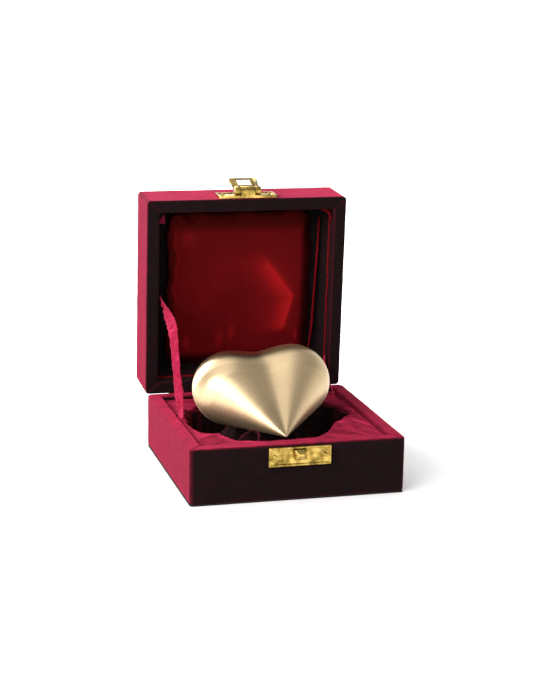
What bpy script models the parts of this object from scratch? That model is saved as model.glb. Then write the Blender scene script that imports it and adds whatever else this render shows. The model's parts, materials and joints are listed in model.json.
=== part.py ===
"""Velvet presentation box that holds a hollow brass keepsake heart.

Units are metres, +Z is up, the box's front is at -Y, and the origin is the centre of its underside.
Every piece is first worked out with the lid closed and the hasp latched. The empties on the joint
axes then hold the lid open, the hasp thrown back and the heart propped up.
"""

import math

import bmesh
import bpy
import numpy as np
from mathutils import Matrix

mm = 0.001

# The box's overall sizes
box_width = 105 * mm
box_depth = 102 * mm
base_height = 27.5 * mm
lid_height = 26.5 * mm
corner_radius = 3 * mm
inner_corner = 1 * mm

# Walls and cloth
wall_board = 4.2 * mm
floor_board = 3 * mm
roof_board = 3 * mm
cloth = 0.8 * mm
gap = 0.3 * mm
rim_gap = 0.4 * mm
rim_rounding = 1.5 * mm
lid_turn_in = 8.1 * mm

# The fitted insert and its well, which is round with a straight front edge
insert_drop = 1.7 * mm
insert_card = 1 * mm
well_radius = 43 * mm
well_flat = 7 * mm
well_sides = 44
panel_thickness = 2.5 * mm

# The heart: two teardrop lobes that share a tip
lobe_radius = 18.96 * mm
lobe_spread = 15.7 * mm
lobe_reach = 41.33 * mm
tip_radius = 0.3 * mm
heart_flatness = 0.954
heart_blend = 0.306
heart_wall = 1.3 * mm
heart_tip_back = 14.46 * mm
heart_tip_left = 2.42 * mm
heart_tip_drop = 0.57 * mm
heart_tilt = 22.8
heart_yaw = 3.95
heart_roll = -3.2

# The heart's screw plug
plug_radius = 6 * mm
plug_head = 1.2 * mm
plug_stem_radius = 4.1 * mm
plug_stem = 5 * mm
plug_slot = 1.2 * mm
bush_wall = 1.5 * mm
bush_face = 15.6 * mm
plug_reach = 36 * mm

# Brass fittings
leaf = 0.8 * mm
fitting_width = 30.4 * mm
fitting_height = 9.3 * mm
fitting_inset = 1 * mm
border_width = 1 * mm
border_height = 0.5 * mm
barrel_radius = 2.4 * mm
barrel_width = 7.4 * mm
knuckle_width = 2.8 * mm
latch_pin_radius = 1 * mm
flap_reach = 12.4 * mm
flap_end_width = 15 * mm
lug_width = 6 * mm
lug_height = 5 * mm
lug_drop = 4.7 * mm
lug_stand = 3 * mm
slot_clearance = 0.5 * mm
flap_corner = 1 * mm
hinge_width = 18 * mm
hinge_leaf = 8 * mm
hinge_play = 0.2 * mm
hinge_drop = 3.2 * mm
hinge_spacing = 62 * mm
hinge_barrel_radius = 1.1 * mm
hinge_pin_radius = 0.4 * mm
nail_radius = 0.5 * mm
nail_head_radius = 1 * mm
nail_head = 0.5 * mm
nail_length = 3.6 * mm
nail_hole_clearance = 0.3 * mm
nail_inset = 3 * mm

# The lid's stay ribbons
ribbon_thickness = 0.5 * mm
ribbon_width = 5 * mm
ribbon_notch = 1.3 * mm
ribbon_notch_width = 12 * mm
ribbon_tail = 10 * mm
ribbon_off_wall = 0.8 * mm
ribbon_foot_drop = 2 * mm
ribbon_left_anchor = 7 * mm
ribbon_left_rise = 58.5 * mm
ribbon_left_past_hinge = 4.2 * mm
ribbon_left_bow = (-9 * mm, 0)
ribbon_left_twist = 50
ribbon_right_anchor = 33 * mm
ribbon_right_rise = 16.5 * mm
ribbon_right_past_hinge = 4.7 * mm
ribbon_right_bow = (-3 * mm, 4 * mm)

# Rest pose, in degrees
lid_open = 87.04
hasp_thrown = 160

# Worked out from the sizes above
half_width = box_width / 2
half_depth = box_depth / 2
rim_thickness = wall_board + 2 * (cloth + gap)
lid_rim = base_height + rim_gap
lid_top = lid_rim + lid_height
board_out = cloth + gap
board_in = board_out + wall_board
insert_half_width = half_width - rim_thickness - gap
insert_half_depth = half_depth - rim_thickness - gap
insert_bottom = cloth + 2 * gap + floor_board + gap
insert_top = base_height - insert_drop
well_front = well_radius - well_flat
hinge_axis = (0, half_depth + gap + hinge_barrel_radius, base_height + rim_gap / 2 - hinge_drop)
hasp_axis = (0, -(half_depth + gap + leaf + barrel_radius), lid_rim + fitting_inset + barrel_radius)
tip_point = (-heart_tip_left, -half_depth + heart_tip_back, base_height - heart_tip_drop)
hinge_places = (("left", -hinge_spacing / 2), ("right", hinge_spacing / 2))
hinge_clear = hinge_barrel_radius + gap + hinge_play
fitting_nail_x = fitting_width / 2 - nail_inset
ribbon_anchor = (ribbon_left_anchor, ribbon_right_anchor)
ribbon_foot = base_height - ribbon_foot_drop


def material(name, colour, roughness, metallic=0.0):
    made = bpy.data.materials.new(name)
    made.use_nodes = True
    shader = made.node_tree.nodes["Principled BSDF"]
    shader.inputs["Base Color"].default_value = (*colour, 1)
    shader.inputs["Roughness"].default_value = roughness
    shader.inputs["Metallic"].default_value = metallic
    return made


def empty(name, place, parent=None):
    made = bpy.data.objects.new(name, None)
    bpy.context.scene.collection.objects.link(made)
    made.parent = parent
    made.matrix_local = place
    return made


def solid(name, shape, finish, body=None, datum=(0, 0, 0), smooth=False):
    """One closed body. Its points are given about the datum's frame, and it hangs on body there."""
    points, faces = shape
    mesh = bpy.data.meshes.new(name)
    mesh.from_pydata([tuple(p) for p in np.asarray(points, float) - np.asarray(datum)], [], faces)
    shell = bmesh.new()
    shell.from_mesh(mesh)
    bmesh.ops.recalc_face_normals(shell, faces=shell.faces)
    shell.to_mesh(mesh)
    shell.free()
    if smooth:
        mesh.shade_smooth()
        mesh.set_sharp_from_angle(angle=math.radians(35))
    made = bpy.data.objects.new(name, mesh)
    bpy.context.scene.collection.objects.link(made)
    made.parent = body
    if finish:
        mesh.materials.append(finish)
    return made


def tool(name, shape, body=None, datum=(0, 0, 0)):
    """A hidden solid that a Boolean reads."""
    made = solid(name, shape, None, body, datum)
    made.hide_render = True
    made.display_type = "WIRE"
    return made


def boolean(piece, other, operation):
    step = piece.modifiers.new(other.name, "BOOLEAN")
    step.operation = operation
    step.solver = "EXACT"
    step.object = other


def loft(rings, closed=False):
    """Quads between equal rings of points, with a cap at each end unless the rings close on themselves."""
    count = len(rings[0])
    points = [p for ring in rings for p in ring]
    faces = []
    spans = len(rings) if closed else len(rings) - 1
    for i in range(spans):
        a, b = i * count, (i + 1) % len(rings) * count
        faces += [(a + j, a + (j + 1) % count, b + (j + 1) % count, b + j) for j in range(count)]
    if not closed:
        faces += [tuple(range(count))[::-1], tuple(range(len(points) - count, len(points)))]
    return points, faces


def join(*shapes):
    """Several shapes that don't touch, as one mesh."""
    points, faces = [], []
    for more_points, more_faces in shapes:
        faces += [tuple(i + len(points) for i in face) for face in more_faces]
        points += list(more_points)
    return points, faces


def block(x, y, z):
    return loft([[(a, y[0], h) for a in x] + [(a, y[1], h) for a in x[::-1]] for h in z])


def outline(x, y, radii, steps=4):
    """A rectangle with rounded corners, from the low x, low y corner anticlockwise."""
    corners = ((x[0], y[0], 1, 1), (x[1], y[0], -1, 1), (x[1], y[1], -1, -1), (x[0], y[1], 1, -1))
    points = []
    for k, (cx, cy, sx, sy) in enumerate(corners):
        radius = radii[k]
        if not radius:
            points.append((cx, cy))
            continue
        for i in range(steps + 1):
            turn = math.pi * (1 + k / 2 + i / steps / 2)
            across, along = math.cos(turn), math.sin(turn)
            points.append((cx + sx * radius + radius * across, cy + sy * radius + radius * along))
    return points


def wall_ring(offset, z, radius):
    """The box's outline at a depth of offset into its wall."""
    x, y = half_width - offset, half_depth - offset
    return [(*p, z) for p in outline((-x, x), (-y, y), (radius,) * 4)]


def prism(points, low, high):
    return loft([[(*p, z) for p in points] for z in (low, high)])


def round_bar(centre, axis, radii, stations, sides=16):
    """A turned shape about a line along X, Y or Z: one radius at each station."""
    across = [k for k in range(3) if k != axis]
    rings = []
    for radius, station in zip(radii, stations):
        ring = np.zeros((sides, 3))
        turn = np.arange(sides) * 2 * math.pi / sides
        ring[:, axis] = centre[axis] + station
        ring[:, across[0]] = centre[across[0]] + radius * np.cos(turn)
        ring[:, across[1]] = centre[across[1]] + radius * np.sin(turn)
        rings.append(ring)
    return loft(rings)


def rim_profile(rim, side):
    """(depth into the wall, height) along the cloth over a rounded rim: side 1 faces up, -1 down."""
    outer = [(rim_rounding * (1 - math.cos(t)), rim - side * rim_rounding * (1 - math.sin(t)))
             for t in np.linspace(0, math.pi / 2, 4)]
    inner = [(rim_thickness - d, h) for d, h in outer[::-1]]
    return outer + inner


def cloth_radius(depth):
    """Corner radius of the outline at a depth into the wall: outer and inner faces each keep their own."""
    if depth < rim_thickness / 2:
        return max(corner_radius - depth, inner_corner)
    return inner_corner + rim_thickness - depth


def walls(name, low, high, finish, body=None, datum=(0, 0, 0)):
    """Front and back boards across the full width, with the side boards between them."""
    x_out, x_in = half_width - board_out, half_width - board_in
    y_out, y_in = half_depth - board_out, half_depth - board_in
    corner = corner_radius - board_out
    front = outline((-x_out, x_out), (-y_out, -y_in), (corner, corner, 0, 0))
    back = outline((-x_out, x_out), (y_in, y_out), (0, 0, corner, corner))
    boards = {
        "front": solid(f"{name}_front_board", prism(front, low, high), finish, body, datum),
        "back": solid(f"{name}_back_board", prism(back, low, high), finish, body, datum),
    }
    for side, word in ((-1, "left"), (1, "right")):
        x = sorted((side * x_in, side * x_out))
        shape = block(x, (-y_in + gap, y_in - gap), (low, high))
        boards[word] = solid(f"{name}_{word}_board", shape, finish, body, datum)
    return boards


def cloth_rings(rim, side, outer_end, inner_end):
    """Rings over the outside of a cloth wrap: up the outer face, over the rim, down the inner face."""
    line = [(0, outer_end)] + rim_profile(rim, side) + [(rim_thickness, inner_end)]
    return [wall_ring(depth, height, cloth_radius(depth)) for depth, height in line]


def nail_holes(name, places, side, body=None, datum=(0, 0, 0)):
    """Drills for nails that run in from the front (side -1) or back (side +1) face."""
    radius = nail_radius + nail_hole_clearance
    face = side * half_depth
    drills = []
    for x, z in places:
        stations = (side * (leaf + 3 * gap), -side * (nail_length + gap))
        drills.append(round_bar((x, face, z), 1, (radius, radius), stations, 8))
    return tool(name, join(*drills), body, datum)


def nails(names, places, side, body=None, datum=(0, 0, 0)):
    """Domed nails: the head stands a gap off the leaf, and the shank runs through it into the board."""
    face = side * (half_depth + gap + leaf + gap)
    shank_end = -side * (nail_length + leaf)
    for name, (x, z) in zip(names, places):
        stations = (side * nail_head, side * nail_head * 0.6, 0, 0, shank_end)
        radii = (nail_head_radius * 0.5, nail_head_radius, nail_head_radius, nail_radius, nail_radius)
        solid(name, round_bar((x, face, z), 1, radii, stations, 12), brass, body, datum, smooth=True)


def bordered_plate(name, z, body=None, datum=(0, 0, 0)):
    """A flat plate on the front wall with a raised border round its outer face."""
    x = fitting_width / 2
    back, front = -half_depth - gap, -half_depth - gap - leaf
    raised = front - border_height
    inner = (x - border_width, z[0] + border_width, z[1] - border_width)
    rows = [
        (back, x, z[0], z[1]),
        (raised, x, z[0], z[1]),
        (raised, *inner),
        (front, *inner),
    ]
    rings = [[(-w, y, low), (w, y, low), (w, y, high), (-w, y, high)] for y, w, low, high in rows]
    return solid(name, loft(rings), brass, body, datum)


def base():
    low, high = cloth + gap, base_height - cloth - gap
    boards = walls("base", low, high, board_paper)
    x, y = half_width - board_in - gap, half_depth - board_in - gap
    solid("base_floor_board", block((-x, x), (-y, y), (low, low + floor_board)), board_paper)
    solid("base_underside_cloth", prism(outline((-half_width, half_width), (-half_depth, half_depth),
                                                (corner_radius,) * 4), 0, cloth), felt)
    rings = cloth_rings(base_height, 1, low, insert_bottom)
    under = base_height - cloth
    for depth, height in ((rim_thickness - cloth, insert_bottom), (rim_thickness - cloth, under),
                          (cloth, under), (cloth, low)):
        rings.append(wall_ring(depth, height, cloth_radius(depth)))
    wrap = solid("base_velvet_wrap", loft(rings, closed=True), velvet, smooth=True)

    top = base_height - fitting_inset
    plate = bordered_plate("strike_plate", (top - fitting_height, top))
    places = [(x, top - fitting_height / 2) for x in (-fitting_nail_x, fitting_nail_x)]
    drill = nail_holes("strike_nail_drill", places, -1)
    for piece in (plate, wrap, boards["front"]):
        boolean(piece, drill, "DIFFERENCE")
    nails(("strike_nail_left", "strike_nail_right"), places, -1)
    strike_lug()
    back = hinge_nail_places(-1)
    drill = nail_holes("base_hinge_nail_drill", back, 1)
    for piece in (wrap, boards["back"]):
        boolean(piece, drill, "DIFFERENCE")
    names = [f"hinge_{word}_base_nail_{k}" for word in ("left", "right") for k in (1, 2)]
    nails(names, back, 1)
    for word, centre in hinge_places:
        piece = hinge_leaf_solid(f"hinge_{word}_base_leaf", centre, -1)
        boolean(piece, drill, "DIFFERENCE")


def strike_lug():
    """A four-sided stud that the hasp's slot drops over, cut to a slanting ridge."""
    y, z = -half_depth - gap - leaf - gap, base_height - lug_drop
    w, h = lug_width / 2, lug_height / 2
    rows = ((y, w, h), (y - lug_stand * 0.55, w, h), (y - lug_stand, w * 0.45, h * 0.3))
    rings = [[(-a, d, z - b), (a, d, z - b), (a, d, z + b), (-a, d, z + b)] for d, a, b in rows]
    solid("strike_lug", loft(rings), brass)


def hinge_nail_places(side):
    """Two nails through each hinge leaf: side -1 is the base's leaf, +1 the lid's."""
    z = hinge_axis[2] + side * (hinge_clear + hinge_leaf / 2)
    spread = hinge_width / 2 - nail_inset
    return [(centre + k * spread, z) for _, centre in hinge_places for k in (-1, 1)]


def hinge_leaf_solid(name, centre, side, body=None, datum=(0, 0, 0)):
    """A butt hinge's leaf: the base's has the two end knuckles, the lid's has the middle one."""
    y = (half_depth + gap, half_depth + gap + leaf)
    axis_z = hinge_axis[2]
    edge, far = axis_z + side * hinge_clear, axis_z + side * (hinge_clear + hinge_leaf)
    half, third = hinge_width / 2, hinge_width / 6
    plate = block((centre - half, centre + half), y, sorted((edge, far)))
    piece = solid(name, plate, brass, body, datum, smooth=True)
    inner = third - gap / 2
    outer = third + gap / 2
    spans = [(-inner, inner)] if side > 0 else [(-half, -outer), (outer, half)]
    for k, span in enumerate(spans):
        web = block((centre + span[0], centre + span[1]), y, sorted((axis_z, edge + side * leaf)))
        boolean(piece, tool(f"{name}_web_{k}", web, body, datum), "UNION")
        knuckle = round_bar((centre, *hinge_axis[1:]), 0, (hinge_barrel_radius,) * 2, span)
        boolean(piece, tool(f"{name}_knuckle_{k}", knuckle, body, datum), "UNION")
    bore = round_bar((centre, *hinge_axis[1:]), 0, (hinge_pin_radius + gap,) * 2, (-hinge_width, hinge_width))
    boolean(piece, tool(f"{name}_bore", bore, body, datum), "DIFFERENCE")
    return piece


def hinge_pins():
    for word, centre in hinge_places:
        pin = round_bar((centre, *hinge_axis[1:]), 0, (hinge_pin_radius,) * 2,
                        (-hinge_width / 2 - gap, hinge_width / 2 + gap), 12)
        solid(f"hinge_{word}_pin", pin, steel, smooth=True)


def lid(body):
    datum = hinge_axis
    low, high = lid_rim + cloth + gap, lid_top - cloth - gap
    boards = walls("lid", low, high, board_paper, body, datum)
    x, y = half_width - board_in - gap, half_depth - board_in - gap
    solid("lid_roof_board", block((-x, x), (-y, y), (high - roof_board, high)), board_paper, body, datum)
    rings = cloth_rings(lid_rim, -1, lid_top - rim_rounding, lid_rim + lid_turn_in)
    shoulder = corner_radius - rim_rounding
    rings.insert(0, wall_ring(rim_rounding, lid_top, shoulder))
    rings.insert(1, wall_ring(rim_rounding * 0.3, lid_top - rim_rounding * 0.3, corner_radius))
    over = lid_rim + cloth
    for depth, height in ((rim_thickness - cloth, lid_rim + lid_turn_in), (rim_thickness - cloth, over),
                          (cloth, over), (cloth, lid_top - cloth)):
        rings.append(wall_ring(depth, height, cloth_radius(depth)))
    wrap = solid("lid_velvet_wrap", loft(rings), velvet, body, datum, smooth=True)

    lining = (lid_rim + lid_turn_in + gap, high - roof_board - gap)
    inner, outer = rim_thickness, rim_thickness - cloth
    ring = [wall_ring(d, z, cloth_radius(d)) for d, z in ((outer, lining[0]), (outer, lining[1]),
                                                         (inner, lining[1]), (inner, lining[0]))]
    solid("lid_wall_lining", loft(ring, closed=True), satin, body, datum)
    x, y = insert_half_width, insert_half_depth
    panel = outline((-x, x), (-y, y), (cloth_radius(rim_thickness),) * 4)
    solid("lid_satin_panel", prism(panel, lining[1] - panel_thickness, lining[1]), satin, body, datum)

    bottom = lid_rim + fitting_inset
    plate = bordered_plate("latch_plate", (bottom, bottom + fitting_height), body, datum)
    web = block((-barrel_width / 2, barrel_width / 2), (hasp_axis[1], -half_depth - gap - leaf / 2),
                (bottom, bottom + leaf))
    boolean(plate, tool("latch_plate_web", web, body, datum), "UNION")
    barrel = round_bar(hasp_axis, 0, (barrel_radius,) * 2, (-barrel_width / 2, barrel_width / 2), 20)
    boolean(plate, tool("latch_plate_barrel", barrel, body, datum), "UNION")
    bore = round_bar(hasp_axis, 0, (latch_pin_radius + gap,) * 2, (-barrel_width, barrel_width))
    boolean(plate, tool("latch_plate_bore", bore, body, datum), "DIFFERENCE")
    places = [(x, bottom + fitting_height / 2) for x in (-fitting_nail_x, fitting_nail_x)]
    drill = nail_holes("latch_nail_drill", places, -1, body, datum)
    for piece in (plate, wrap, boards["front"]):
        boolean(piece, drill, "DIFFERENCE")
    nails(("latch_nail_left", "latch_nail_right"), places, -1, body, datum)
    back = hinge_nail_places(1)
    drill = nail_holes("lid_hinge_nail_drill", back, 1, body, datum)
    for piece in (wrap, boards["back"]):
        boolean(piece, drill, "DIFFERENCE")
    names = [f"hinge_{word}_lid_nail_{k}" for word in ("left", "right") for k in (1, 2)]
    nails(names, back, 1, body, datum)
    for word, centre in hinge_places:
        piece = hinge_leaf_solid(f"hinge_{word}_lid_leaf", centre, 1, body, datum)
        boolean(piece, drill, "DIFFERENCE")
    pin_half = barrel_width / 2 + gap + knuckle_width + gap
    pin = round_bar(hasp_axis, 0, (latch_pin_radius,) * 2, (-pin_half, pin_half), 12)
    solid("hasp_hinge_pin", pin, steel, body, datum, smooth=True)


def hasp(body):
    """The flap as it hangs latched: two knuckles on the pin, and a leaf with a slot round the lug."""
    datum = hasp_axis
    y = (hasp_axis[1] - leaf / 2, hasp_axis[1] + leaf / 2)
    knuckles = barrel_width / 2 + gap, barrel_width / 2 + gap + knuckle_width
    top = hasp_axis[2] - barrel_radius - gap
    bottom = hasp_axis[2] - flap_reach
    end, cut = flap_end_width / 2, flap_corner
    shape = [(-knuckles[1], top), (knuckles[1], top), (end, bottom + cut), (end - cut, bottom),
             (cut - end, bottom), (-end, bottom + cut)]
    leaf_shape = loft([[(x, depth, z) for x, z in shape] for depth in y])
    flap = solid("hasp_flap", leaf_shape, brass, body, datum, smooth=True)
    for side in (-1, 1):
        span = sorted((side * knuckles[0], side * knuckles[1]))
        web = block(span, y, (top - leaf, hasp_axis[2]))
        boolean(flap, tool(f"flap_web_{side}", web, body, datum), "UNION")
        knuckle = round_bar(hasp_axis, 0, (barrel_radius,) * 2, span, 20)
        boolean(flap, tool(f"flap_knuckle_{side}", knuckle, body, datum), "UNION")
    bore = round_bar(hasp_axis, 0, (latch_pin_radius + gap,) * 2, (-flap_end_width, flap_end_width))
    boolean(flap, tool("flap_bore", bore, body, datum), "DIFFERENCE")
    x, z = lug_width / 2 + slot_clearance, base_height - lug_drop
    slot = block((-x, x), (y[0] - leaf, y[1] + leaf),
                 (z - lug_height / 2 - slot_clearance, z + lug_height / 2 + slot_clearance))
    boolean(flap, tool("flap_slot", slot, body, datum), "DIFFERENCE")


def insert_shape():
    """The insert's outline, with a shallow notch each side where a ribbon runs down to its anchor."""
    x, y = insert_half_width, insert_half_depth
    notch_x, half = x - ribbon_notch, ribbon_notch_width / 2
    left, right = ribbon_anchor
    right_notch = [(x, right - half), (notch_x, right - half), (notch_x, right + half), (x, right + half)]
    left_notch = [(-x, left + half), (-notch_x, left + half), (-notch_x, left - half), (-x, left - half)]
    return [(-x, -y), (x, -y), *right_notch, (x, y), (-x, y), *left_notch]


def well_outline(inset):
    """The well's edge, moved inwards by inset: an arc, closed by a chord at the front."""
    radius, front = well_radius - inset, well_front - inset
    start = math.asin(front / radius)
    turns = np.linspace(-start, math.pi + start, well_sides)
    return [(radius * math.cos(a), radius * math.sin(a)) for a in turns]


def insert(body):
    shape = insert_shape()
    card_top = insert_bottom + insert_card
    foam = (card_top + gap, insert_top - cloth - gap)
    solid("insert_card", prism(shape, insert_bottom, card_top), board_paper, body)
    core = solid("insert_foam", prism(shape, *foam), foam_white, body, smooth=True)
    cover = solid("insert_velvet", prism(shape, insert_top - cloth, insert_top), velvet, body, smooth=True)
    well = tool("well_cutter", prism(well_outline(0), card_top, base_height), body)
    for piece in (core, cover):
        boolean(piece, well, "DIFFERENCE")
    outer, inner, floor, lip = gap, gap + cloth, card_top + gap, insert_top - gap
    steps = ((outer, floor), (outer, lip), (inner, lip), (inner, floor + cloth))
    cup = loft([[(*p, z) for p in well_outline(inset)] for inset, z in steps])
    solid("well_lining", cup, velvet, body, smooth=True)


def lobe_distance(points, spread, reach, radius):
    """Distance to a cone with round ends: a sharp end at the tip and a lobe at (spread, reach)."""
    flat = points / np.array((1, 1, heart_flatness))
    end = np.array((spread, reach, 0))
    length = np.linalg.norm(end)
    along = flat @ end / length
    away = np.linalg.norm(flat - np.outer(along, end / length), axis=1)
    slope = (tip_radius - radius) / length
    level = math.sqrt(1 - slope * slope)
    side = along * level - away * slope
    round_tip = np.hypot(away, along) - tip_radius
    round_lobe = np.hypot(away, along - length) - radius
    cone = away * level + along * slope - tip_radius
    return np.where(side < 0, round_tip, np.where(side > level * length, round_lobe, cone))


def heart_distance(points):
    """The two lobes, joined by a blend that widens with the distance from the tip."""
    left = lobe_distance(points, -lobe_spread, lobe_reach, lobe_radius)
    right = lobe_distance(points, lobe_spread, lobe_reach, lobe_radius)
    reach = np.maximum(heart_blend * np.linalg.norm(points, axis=1), 1e-9)
    mix = np.maximum(reach - np.abs(left - right), 0) / reach
    return np.minimum(left, right) - mix * mix * reach / 4


def heart_shell_shape(columns, rows, shrink=1.0):
    """The heart's surface, found along rays from its middle: rows from the tip to the cleft, columns around.

    The tip is at the frame's origin, +Y runs from it to the cleft, and Z is the thickness."""
    middle = np.array((0, lobe_reach * 0.82, 0))
    fall = math.pi * np.linspace(0, 1, rows + 2)[1:-1] ** 1.15
    turn = np.arange(columns) * 2 * math.pi / columns
    fall, turn = np.meshgrid(fall, turn, indexing="ij")
    rays = np.stack((np.sin(fall) * np.cos(turn), -np.cos(fall), np.sin(fall) * np.sin(turn)), -1)
    rays = np.vstack(((0, -1, 0), rays.reshape(-1, 3), (0, 1, 0)))
    near, far = np.zeros(len(rays)), np.full(len(rays), 3 * lobe_reach)
    for _ in range(40):
        half = (near + far) / 2
        inside = heart_distance(middle + rays * half[:, None]) < 0
        near, far = np.where(inside, half, near), np.where(inside, far, half)
    points = middle + rays * (far * shrink)[:, None]
    faces = [(0, 1 + (j + 1) % columns, 1 + j) for j in range(columns)]
    for i in range(rows - 1):
        a, b = 1 + i * columns, 1 + (i + 1) * columns
        faces += [(a + j, a + (j + 1) % columns, b + (j + 1) % columns, b + j) for j in range(columns)]
    last = 1 + (rows - 1) * columns
    faces += [(last + j, last + (j + 1) % columns, len(points) - 1) for j in range(columns)]
    return points, faces


def heart(body):
    """The shell is hollow, and a bush in its underside takes the screw plug."""
    shell = solid("heart_shell", heart_shell_shape(36, 24), brass_brushed, body, smooth=True)
    hollow = heart_shell_shape(28, 18, 1 - heart_wall / lobe_radius)
    boolean(shell, tool("heart_hollow", hollow, body), "DIFFERENCE")
    seat = (0, plug_reach, -bush_face)
    bush_radius = plug_radius + gap + bush_wall
    bush_height = plug_stem + plug_head
    hole = round_bar(seat, 2, (bush_radius + gap,) * 2, (-bush_height, bush_face), 24)
    boolean(shell, tool("heart_bush_hole", hole, body), "DIFFERENCE")
    bore, recess = plug_stem_radius + gap, plug_radius + gap
    floor = plug_head / 2 + gap
    radii = (bush_radius, bush_radius, bore, bore, recess, recess)
    stations = (0, bush_height, bush_height, floor, floor, 0)
    turned = round_bar(seat, 2, radii, stations, 24)[0]
    rings = [turned[k:k + 24] for k in range(0, len(turned), 24)]
    solid("heart_bush", loft(rings, closed=True), brass_brushed, body, smooth=True)


def plug(body):
    """The screw plug, about its own axis: head outwards at -Z, stem in the bore, and a coin slot."""
    radii = (plug_radius - gap, plug_radius, plug_radius, plug_stem_radius, plug_stem_radius)
    stations = (-plug_head / 2, -plug_head / 2 + gap, plug_head / 2, plug_head / 2, plug_head / 2 + plug_stem)
    turned = round_bar((0, 0, 0), 2, radii, stations, 24)
    stopper = solid("heart_plug", turned, brass_brushed, body, smooth=True)
    past_edge, half = plug_radius * 2, plug_slot / 2
    slot = block((-past_edge, past_edge), (-half, half), (-plug_head, -plug_head / 6))
    boolean(stopper, tool("plug_slot", slot, body), "DIFFERENCE")


def ribbon(name, side, base_end, lid_end, bow, twist):
    """A stay ribbon along a bowed path in Y and Z, from the base's side wall to the lid's.

    Its width lies along the wall at both ends, and turns by twist degrees between them."""
    steps = np.linspace(0, 1, 13)
    start, end = np.array(base_end), np.array(lid_end)
    middle = (start + end) / 2 + np.array(bow)
    shares = np.stack(((1 - steps) ** 2, 2 * steps * (1 - steps), steps ** 2), -1)
    line = shares @ np.array((start, middle, end))
    line = np.vstack((start + np.array((0, -ribbon_tail)), line))
    along = np.gradient(line, axis=0)
    along /= np.linalg.norm(along, axis=1)[:, None]
    steps = np.concatenate(((0,), steps))
    turn = np.radians(twist) * np.sin(math.pi * steps) ** 2
    x = side * (half_width - rim_thickness - ribbon_off_wall)
    rings = []
    for (y, z), (ty, tz), a in zip(line, along, turn):
        centre = np.array((x, y, z))
        width = np.array((-side * math.sin(a), -tz * math.cos(a), ty * math.cos(a))) * ribbon_width / 2
        normal = np.array((math.cos(a), -side * tz * math.sin(a), side * ty * math.sin(a)))
        normal *= ribbon_thickness / 2
        rings.append([centre + width + normal, centre - width + normal,
                      centre - width - normal, centre + width - normal])
    solid(name, loft(rings), velvet)


for old in list(bpy.data.objects):
    bpy.data.objects.remove(old)

board_paper = material("grey board", (0.35, 0.32, 0.28), 0.9)
velvet = material("crimson velvet", (0.22, 0.008, 0.03), 0.85)
satin = material("dark red satin", (0.16, 0.006, 0.01), 0.5)
felt = material("black flock paper", (0.02, 0.015, 0.015), 0.95)
foam_white = material("white foam", (0.7, 0.7, 0.68), 0.95)
brass = material("polished brass", (0.62, 0.43, 0.13), 0.3, 1)
brass_brushed = material("brushed brass", (0.72, 0.58, 0.33), 0.35, 1)
steel = material("pin wire", (0.5, 0.45, 0.35), 0.4, 1)

base()
hinge_pins()
lid_body = empty("lid_hinge", Matrix.Translation(hinge_axis)
                 @ Matrix.Rotation(-math.radians(lid_open), 4, "X"))
lid(lid_body)
hasp_offset = [a - b for a, b in zip(hasp_axis, hinge_axis)]
hasp_body = empty("hasp_hinge", Matrix.Translation(hasp_offset)
                  @ Matrix.Rotation(-math.radians(hasp_thrown), 4, "X"), lid_body)
hasp(hasp_body)
insert_body = empty("insert_lift", Matrix.Identity(4))
insert(insert_body)
heart_body = empty("heart_tilt", Matrix.Translation(tip_point)
                   @ Matrix.Rotation(math.radians(heart_yaw), 4, "Z")
                   @ Matrix.Rotation(math.radians(heart_tilt), 4, "X")
                   @ Matrix.Rotation(math.radians(heart_roll), 4, "Y"), insert_body)
heart(heart_body)
plug(empty("plug_turn", Matrix.Translation((0, plug_reach, -bush_face - gap / 2)), heart_body))
hinge_y = hinge_axis[1]
ribbon("ribbon_left", -1, (ribbon_left_anchor, ribbon_foot),
       (hinge_y + ribbon_left_past_hinge, ribbon_foot + ribbon_left_rise), ribbon_left_bow, ribbon_left_twist)
ribbon("ribbon_right", 1, (ribbon_right_anchor, ribbon_foot),
       (hinge_y + ribbon_right_past_hinge, ribbon_foot + ribbon_right_rise), ribbon_right_bow, 0)
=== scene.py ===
import json
import math

import bmesh
import bpy
import numpy as np
from mathutils import Matrix, Vector


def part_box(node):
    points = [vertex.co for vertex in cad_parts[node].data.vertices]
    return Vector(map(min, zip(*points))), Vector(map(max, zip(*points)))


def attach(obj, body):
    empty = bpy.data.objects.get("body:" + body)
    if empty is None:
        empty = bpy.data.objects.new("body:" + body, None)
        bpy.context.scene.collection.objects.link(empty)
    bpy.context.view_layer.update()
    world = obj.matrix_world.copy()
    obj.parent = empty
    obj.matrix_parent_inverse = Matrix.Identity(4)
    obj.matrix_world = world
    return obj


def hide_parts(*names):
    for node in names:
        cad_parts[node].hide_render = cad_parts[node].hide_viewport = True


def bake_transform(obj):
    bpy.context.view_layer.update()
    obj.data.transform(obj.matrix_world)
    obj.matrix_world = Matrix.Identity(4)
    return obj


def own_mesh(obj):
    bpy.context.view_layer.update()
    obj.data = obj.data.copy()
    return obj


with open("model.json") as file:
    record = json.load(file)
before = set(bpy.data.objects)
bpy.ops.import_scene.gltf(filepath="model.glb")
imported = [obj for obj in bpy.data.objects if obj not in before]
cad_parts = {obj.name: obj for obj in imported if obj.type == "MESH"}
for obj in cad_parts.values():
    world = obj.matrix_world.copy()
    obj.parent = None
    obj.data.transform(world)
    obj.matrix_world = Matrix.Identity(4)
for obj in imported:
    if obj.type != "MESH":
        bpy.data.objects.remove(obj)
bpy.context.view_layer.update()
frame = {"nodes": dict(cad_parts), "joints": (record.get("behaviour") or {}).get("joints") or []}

mm = 0.001
nodes = frame["nodes"]
joints = {joint["name"]: joint for joint in frame["joints"]}

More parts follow.
